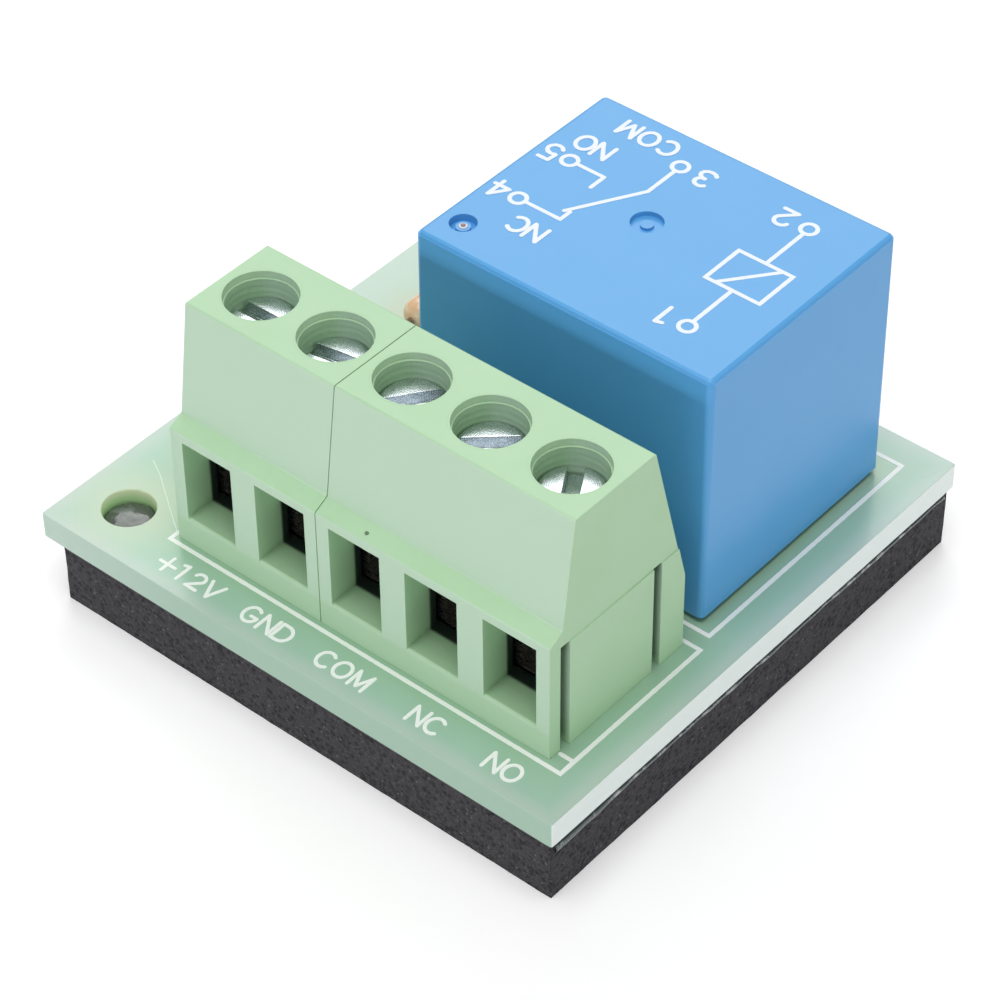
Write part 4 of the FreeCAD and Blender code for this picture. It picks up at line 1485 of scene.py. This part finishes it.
@dataclass
class BoardLegends:
    """White legends printed on the board, and one painted light line along the edge of the terminals' shadow.
    """

    palette: Palette
    line: float = 0.25 * MM
    stroke: float = 0.2 * MM
    ink: float = 0.02 * MM
    sunk: float = 0.002 * MM
    cap_height: float = 1.13 * MM
    baseline: float = -16.28 * MM
    starts: dict[str, float] = field(default_factory=lambda: {
        "+12V": -10.20 * MM, "GND": -4.15 * MM, "COM": 1.02 * MM, "NC": 7.35 * MM, "NO": 12.38 * MM})
    terminal_outline: tuple[Point2, Point2] = ((-10.955 * MM, -14.23 * MM), (15.76 * MM, -2.96 * MM))
    tick: tuple[Point2, Point2] = ((14.9 * MM, -13.18 * MM), (15.66 * MM, -13.18 * MM))
    relay_margin: float = 0.815 * MM
    relay_back_margin: float = 1.1 * MM
    diode_gap: float = 0.45 * MM
    # Points of the painted light line at the shadow's edge, in millimetres.
    shadow_edge_mm: Line = ((-11.05, -13.6), (-11.6, -13.25), (-12.38, -12.71), (-13.54, -11.9),
                        (-14.9, -10.95), (-16.0, -10.35))

    def build(self) -> None:
        """Print the outlines and the words, then the painted light line at the shadow's edge."""
        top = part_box("circuit_board")[1].z
        self.build_outlines(Pen(self.line, top - self.sunk, self.ink, roughness=0.16))
        lettering = PlainLettering()
        fine = Pen(self.stroke, top - self.sunk, self.ink, roughness=0.12, step=0.12 * MM)
        for number, (word, x) in enumerate(self.starts.items(), 1):
            bm = bmesh.new()
            lettering.write(bm, fine, word, (x, self.baseline), self.cap_height)
            from_bmesh(f"terminal_legend_{number}", bm, self.palette.legend)
        self.build_diode_print(Pen(self.stroke, top - self.sunk, self.ink, roughness=0.12))
        self.build_shadow_edge_line(Pen(0.06 * MM, top - 0.003 * MM, 0.008 * MM, roughness=0.35, step=0.1 * MM))

    def build_outlines(self, pen: Pen) -> None:
        """Outlines round the terminals, with the tick of their last pole, and round the relay.

        Args:
            pen: The pen that draws them.
        """
        bm = bmesh.new()
        (x0, y0), (x1, y1) = self.terminal_outline
        pen.draw(bm, [(x0, y0), (x1, y0), (x1, y1), (x0, y1)], closed=True)
        pen.draw(bm, self.tick)
        from_bmesh("terminal_outline_print", bm, self.palette.legend)
        low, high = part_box("relay_cover")
        left, right = low.x - self.relay_margin, high.x + self.relay_margin
        front, back = low.y - self.relay_margin / 2, high.y + self.relay_back_margin
        bm = bmesh.new()
        pen.draw(bm, [(left, front), (right, front), (right, back), (left, back)], closed=True)
        from_bmesh("relay_outline_print", bm, self.palette.legend)

    def build_diode_print(self, pen: Pen) -> None:
        """Thick bar beside the diode's cathode, drawn as two lines.

        Args:
            pen: The pen that draws it.
        """
        low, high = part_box("diode_body")
        bm = bmesh.new()
        for y in (high.y + self.diode_gap, high.y + self.diode_gap + self.stroke):
            pen.draw(bm, [(low.x, y), (high.x, y)])
        from_bmesh("diode_outline_print", bm, self.palette.legend)

    def build_shadow_edge_line(self, pen: Pen) -> None:
        """Painted light: a pale line along the edge of the terminals' cast shadow, from the terminals towards
        the left edge.

        Args:
            pen: The pen that draws it.
        """
        bm = bmesh.new()
        pen.draw(bm, from_mm(*self.shadow_edge_mm))
        from_bmesh("mask_scratch_line", bm, self.palette.shadow_edge_light)


@dataclass
class Board:
    """The circuit board, its solder and the lands that show."""

    palette: Palette
    edge: float = 0.06 * MM
    lead_radius: float = 0.25 * MM
    bulge_mm: Line = ((1.45, -0.02), (1.45, 0.66), (1.3, 0.8), (1.0, 0.89), (0.6, 0.93), (0.25, 0.94),
                      (0, 0.94))
    land_mm: Line = ((0.24, 0.55), (0.27, 0.42), (0.36, 0.22), (0.52, 0.1), (0.74, 0.05), (0.82, 0.03),
                     (0.84, -0.005))

    def build(self) -> None:
        """Dress the board and solder, then add the lands round the diode's leads."""
        soften(dress("circuit_board", self.palette.laminate), self.edge)
        dress("solder_joints", self.palette.solder)
        self.build_lands()
        x, y = self.palette.laminate.hole
        self.build_bulge("film_bulge_front", (x, y))
        self.build_bulge("film_bulge_back", (x, -y))

    def build_bulge(self, name: str, hole: Point2) -> None:
        """Film and foam that swell up into a fixing hole.

        Args:
            name: The piece's name.
            hole: Centre of the hole.
        """
        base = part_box("circuit_board")[0].z
        bm = bmesh.new()
        turn_profile(bm, from_mm(*self.bulge_mm), Matrix.Translation((*hole, base)))
        for vertex in bm.verts:
            vertex.co.z += 0.06 * MM * noise.noise(vertex.co / (0.7 * MM))
        from_bmesh(name, bm, self.palette.film_bulge, smooth=True)

    def build_lands(self) -> None:
        """Tinned ring and solder fillet on top of each diode hole."""
        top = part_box("circuit_board")[1].z
        for name in ("diode_lead_left", "diode_lead_right"):
            low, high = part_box(name)
            y = low.y + self.lead_radius if name.endswith("left") else high.y - self.lead_radius
            place = Matrix.Translation(((low.x + high.x) / 2, y, top))
            turned_piece(name + "_land", self.palette.solder, from_mm(*self.land_mm), place)


@dataclass
class TerminalRow:
    """Two mouldings with their screws, cages and contacts."""

    palette: Palette
    edge: float = 0.035 * MM
    metal_edge: float = 0.05 * MM
    nib_x: float = 2.6 * MM
    nib_inset: float = 0.42 * MM
    nib_height: float = 7.82 * MM
    nib_mm: Line = ((0.13, -0.02), (0.12, 0.03), (0.05, 0.05), (0, 0.05))

    def build(self) -> None:
        """Dress the housings and what they hold."""
        for name in ("terminal_housing_2way", "terminal_housing_3way"):
            soften(dress(name, self.palette.terminal), self.edge)
        for number in range(1, POLES + 1):
            soften(dress(f"terminal_screw_{number}", self.palette.screw(number)), self.metal_edge)
            soften(dress(f"clamp_cage_{number}", self.palette.cage), self.metal_edge)
            soften(dress(f"terminal_contact_{number}", self.palette.bar), self.metal_edge)
        self.build_ledge_mark()

    def build_ledge_mark(self) -> None:
        """Small raised nib that an ejector pin left on the ledge."""
        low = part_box("terminal_housing_3way")[0]
        place = Matrix.Translation((self.nib_x, low.y + self.nib_inset, low.z + self.nib_height))
        turned_piece("ledge_ejector_mark", self.palette.nib, from_mm(*self.nib_mm), place, 20)


@dataclass
class RelayCase:
    """Blue case with its print, and the floor that closes it."""

    palette: Palette
    edge: float = 0.08 * MM
    edge_angle: float = 35.0
    floor_edge: float = 0.05 * MM
    ink: float = 0.012 * MM
    line: float = 0.24 * MM
    vent_inset: Point2 = (1.55 * MM, 2.1 * MM)
    vent_nub_drop: float = 0.225 * MM
    flash_mm: Line = ((0.24, -0.01), (0.24, 0.03), (0.19, 0.06), (0, 0.06))
    plug_mm: Line = ((0.13, 0.05), (0.13, 0.09), (0.078, 0.13), (0, 0.14))
    coil_box: Line = ((-7.6, -1.5), (-4.2, -1.5), (-4.2, 1.3), (-7.6, 1.3))
    coil_wires: tuple[Line, ...] = (
        ((-7.0, -1.5), (-4.8, 1.3)), ((-5.9, 1.3), (-5.9, 4.5)), ((-5.9, -1.5), (-5.9, -4.7)))
    pins: Line = ((-5.9, 4.95), (-5.9, -5.15), (2.4, -5.15), (7.2, 2.3), (7.2, -1.9))
    pin_radius: float = 0.45
    contact_wires: tuple[Line, ...] = (
        ((2.4, -4.7), (2.4, -2.4), (4.7, 1.6)), ((6.75, 2.3), (4.4, 2.3), (4.4, 1.5)),
        ((6.75, -1.9), (4.9, -1.9), (4.9, -0.8)))
    figure_height: float = 1.35 * MM
    figures: tuple[tuple[str, float, float], ...] = (
        ("1", -4.8, 4.3), ("2", -4.8, -5.8), ("3", 0.4, -5.8), ("4", 8.0, 1.65), ("5", 8.0, -2.55))
    word_height: float = 1.2 * MM
    words: tuple[tuple[str, float, float], ...] = (
        ("NC", 4.2, 3.4), ("NO", 5.9, -4.2), ("COM", 3.4, -6.6))

    def build(self) -> None:
        """Dress the case and print its wiring diagram."""
        case = dress("relay_cover", self.palette.case)
        soften(case, self.edge, angle=self.edge_angle, merge_flats=False)
        soften(dress("relay_base", self.palette.floor), self.floor_edge)
        self.build_vent_seal()
        self.build_diagram()

    def build_vent_seal(self) -> None:
        """Pale ring of flash and the small brown plug in the middle of the breather recess."""
        low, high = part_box("relay_cover")
        inset_x, inset_y = self.vent_inset
        place = Matrix.Translation((low.x + inset_x, low.y + inset_y, high.z - self.vent_nub_drop))
        turned_piece("vent_flash_ring", self.palette.vent_rim, from_mm(*self.flash_mm), place, 32)
        turned_piece("vent_seal_dot", self.palette.vent_dot, from_mm(*self.plug_mm), place, 24)

    def at(self, x: float, y: float) -> Point2:
        """Place on the case's top in millimetres from its middle, as read from the back."""
        centre = middle("relay_cover")
        return centre.x - x * MM, centre.y - y * MM

    def build_diagram(self) -> None:
        """Plain wiring diagram with numbered pins, read from the back of the board."""
        pen = Pen(self.line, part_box("relay_cover")[1].z - 0.002 * MM, self.ink, roughness=0.1)
        bm = bmesh.new()
        pen.draw(bm, [self.at(*spot) for spot in self.coil_box], closed=True)
        for wire in self.coil_wires:
            pen.draw(bm, [self.at(*spot) for spot in wire])
        for pin in self.pins:
            ring = arc(pin, (self.pin_radius, self.pin_radius), 0, 340, 17)
            pen.draw(bm, [self.at(*spot) for spot in ring], closed=True)
        for wire in self.contact_wires:
            pen.draw(bm, [self.at(*spot) for spot in wire])
        lettering = PlainLettering()
        for texts, height in ((self.figures, self.figure_height), (self.words, self.word_height)):
            for text, x, y in texts:
                lettering.write(bm, pen, text, self.at(x, y), height, Facing.BACK)
        from_bmesh("relay_wiring_print", bm, self.palette.print)


@dataclass
class RelayWorks:
    """Magnet, armature and contacts inside the case."""

    palette: Palette

    def build(self) -> None:
        """Dress each inner piece."""
        palette = self.palette
        groups = (
            (palette.iron, ("yoke", "core", "armature")),
            (palette.bobbin, ("bobbin",)),
            (palette.wire, ("coil_winding",)),
            (palette.tinned, ("coil_pin_1", "coil_pin_2")),
            (palette.spring, ("contact_spring",)),
            (palette.silver, ("moving_contact",)),
            (palette.contact, ("closed_contact", "open_contact", "common_terminal")))
        for finish, names in groups:
            for name in names:
                dress(name, finish)


@dataclass
class Diode:
    """Glass diode along Y: a round-ended bead, slugs inside it, a band round it and its bent leads."""

    palette: Palette
    lead_radius: float = 0.25 * MM
    bend: float = 0.7 * MM
    arc_steps: int = 10
    end_length: float = 0.8 * MM
    band_width: float = 0.55 * MM
    band_inset: float = 0.95 * MM
    band_skin: float = 0.012 * MM
    band_edge: float = 0.02 * MM
    slug_radius: float = 0.55 * MM
    slug_inset: float = 0.45 * MM
    slug_chamfer: float = 0.1 * MM
    chip_half: float = 0.12 * MM
    axis: Vector = field(init=False)
    radius: float = field(init=False)
    half: float = field(init=False)

    def __post_init__(self) -> None:
        """Read the bead's place and size from the frame."""
        low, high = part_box("diode_body")
        self.axis = middle("diode_body")
        self.radius = (high.x - low.x) / 2
        self.half = (high.y - low.y) / 2

    def build(self) -> None:
        """Build the bead, what is in and on it, and its leads."""
        self.build_bead()
        self.build_slugs()
        self.build_band()
        self.build_lead("diode_lead_left", -1)
        self.build_lead("diode_lead_right", 1)

    def place(self) -> Matrix:
        """Middle of the bead, with local Z along Y."""
        return Matrix.Translation(self.axis) @ Matrix.Rotation(-math.pi / 2, 4, "X")

    def quarter(self) -> list[float]:
        """Angles of a quarter turn, in even steps."""
        return [math.pi / 2 * i / self.arc_steps for i in range(self.arc_steps + 1)]

    def build_bead(self) -> None:
        """Glass drawn round at both ends, where it closes on the leads."""
        neck = self.lead_radius
        end = [(neck + (self.radius - neck) * math.sin(angle),
                self.half - self.end_length * (1 - math.cos(angle))) for angle in self.quarter()]
        profile = [(0, -self.half)] + [(r, -z) for r, z in end] + end[::-1] + [(0, self.half)]
        bead = turned_piece("diode_bead", self.palette.glass, profile, self.place(), 64)
        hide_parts("diode_body")

    def build_slugs(self) -> None:
        """Two plated slugs with the chip between them."""
        reach, gap = self.half - self.slug_inset, self.chip_half
        chamfer, r = self.slug_chamfer, self.slug_radius
        bm = bmesh.new()
        for start, end in ((-reach, -gap), (gap, reach)):
            profile = [(0, start), (r * 0.85, start), (r, start + chamfer), (r, end - chamfer),
                       (r * 0.85, end), (0, end)]
            turn_profile(bm, profile, self.place(), 32)
        turn_profile(bm, [(0, -gap), (r * 0.5, -gap), (r * 0.5, gap), (0, gap)], self.place(), 16)
        from_bmesh("diode_slugs", bm, self.palette.tinned, smooth=True)

    def build_band(self) -> None:
        """Painted band near the end away from the terminals."""
        inner, outer = self.radius - self.band_skin, self.radius + self.band_skin
        end = self.half - self.band_inset
        start = end - self.band_width
        profile = [(inner, start), (outer, start + self.band_edge), (outer, end - self.band_edge),
                   (inner, end)]
        turned_piece("diode_band", self.palette.band, profile, self.place(), 64)

    def build_lead(self, node: str, side: int) -> None:
        """Smooth tinned wire along the CAD lead's own path.

        Args:
            node: The CAD lead that it stands for.
            side: -1 for the lead towards the terminals, 1 for the other.
        """
        low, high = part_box(node)
        down_y = low.y + self.lead_radius if side < 0 else high.y - self.lead_radius
        start_y = high.y if side < 0 else low.y
        x, _, z = self.axis
        path = [Vector((x, start_y, z))]
        for angle in self.quarter():
            path.append(Vector((x, down_y - side * self.bend * (1 - math.sin(angle)),
                                z - self.bend * (1 - math.cos(angle)))))
        path.append(Vector((x, down_y, low.z)))
        bm = bmesh.new()
        swept_tube(bm, path, self.lead_radius)
        piece = from_bmesh(node + "_wire", bm, self.palette.tinned, smooth=True)
        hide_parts(node)


def main() -> None:
    """Build every sub-assembly in order and report each new piece."""
    logging.basicConfig(level=logging.INFO, format="%(message)s")
    palette = Palette()
    steps: list[tuple[str, Callable[[], None]]] = [
        ("studio", Studio().build),
        ("board", Board(palette).build),
        ("legends", BoardLegends(palette).build),
        ("underlay", Underlay(palette).build),
        ("terminal row", TerminalRow(palette).build),
        ("relay case", RelayCase(palette).build),
        ("relay works", RelayWorks(palette).build),
        ("diode", Diode(palette).build),
    ]
    for name, build in steps:
        known = set(bpy.data.objects)
        build()
        made = sorted(piece.name for piece in set(bpy.data.objects) - known)
        log.info("built %s: %s", name, ", ".join(made) or "its nodes are dressed")


if __name__ == "__main__":
    main()
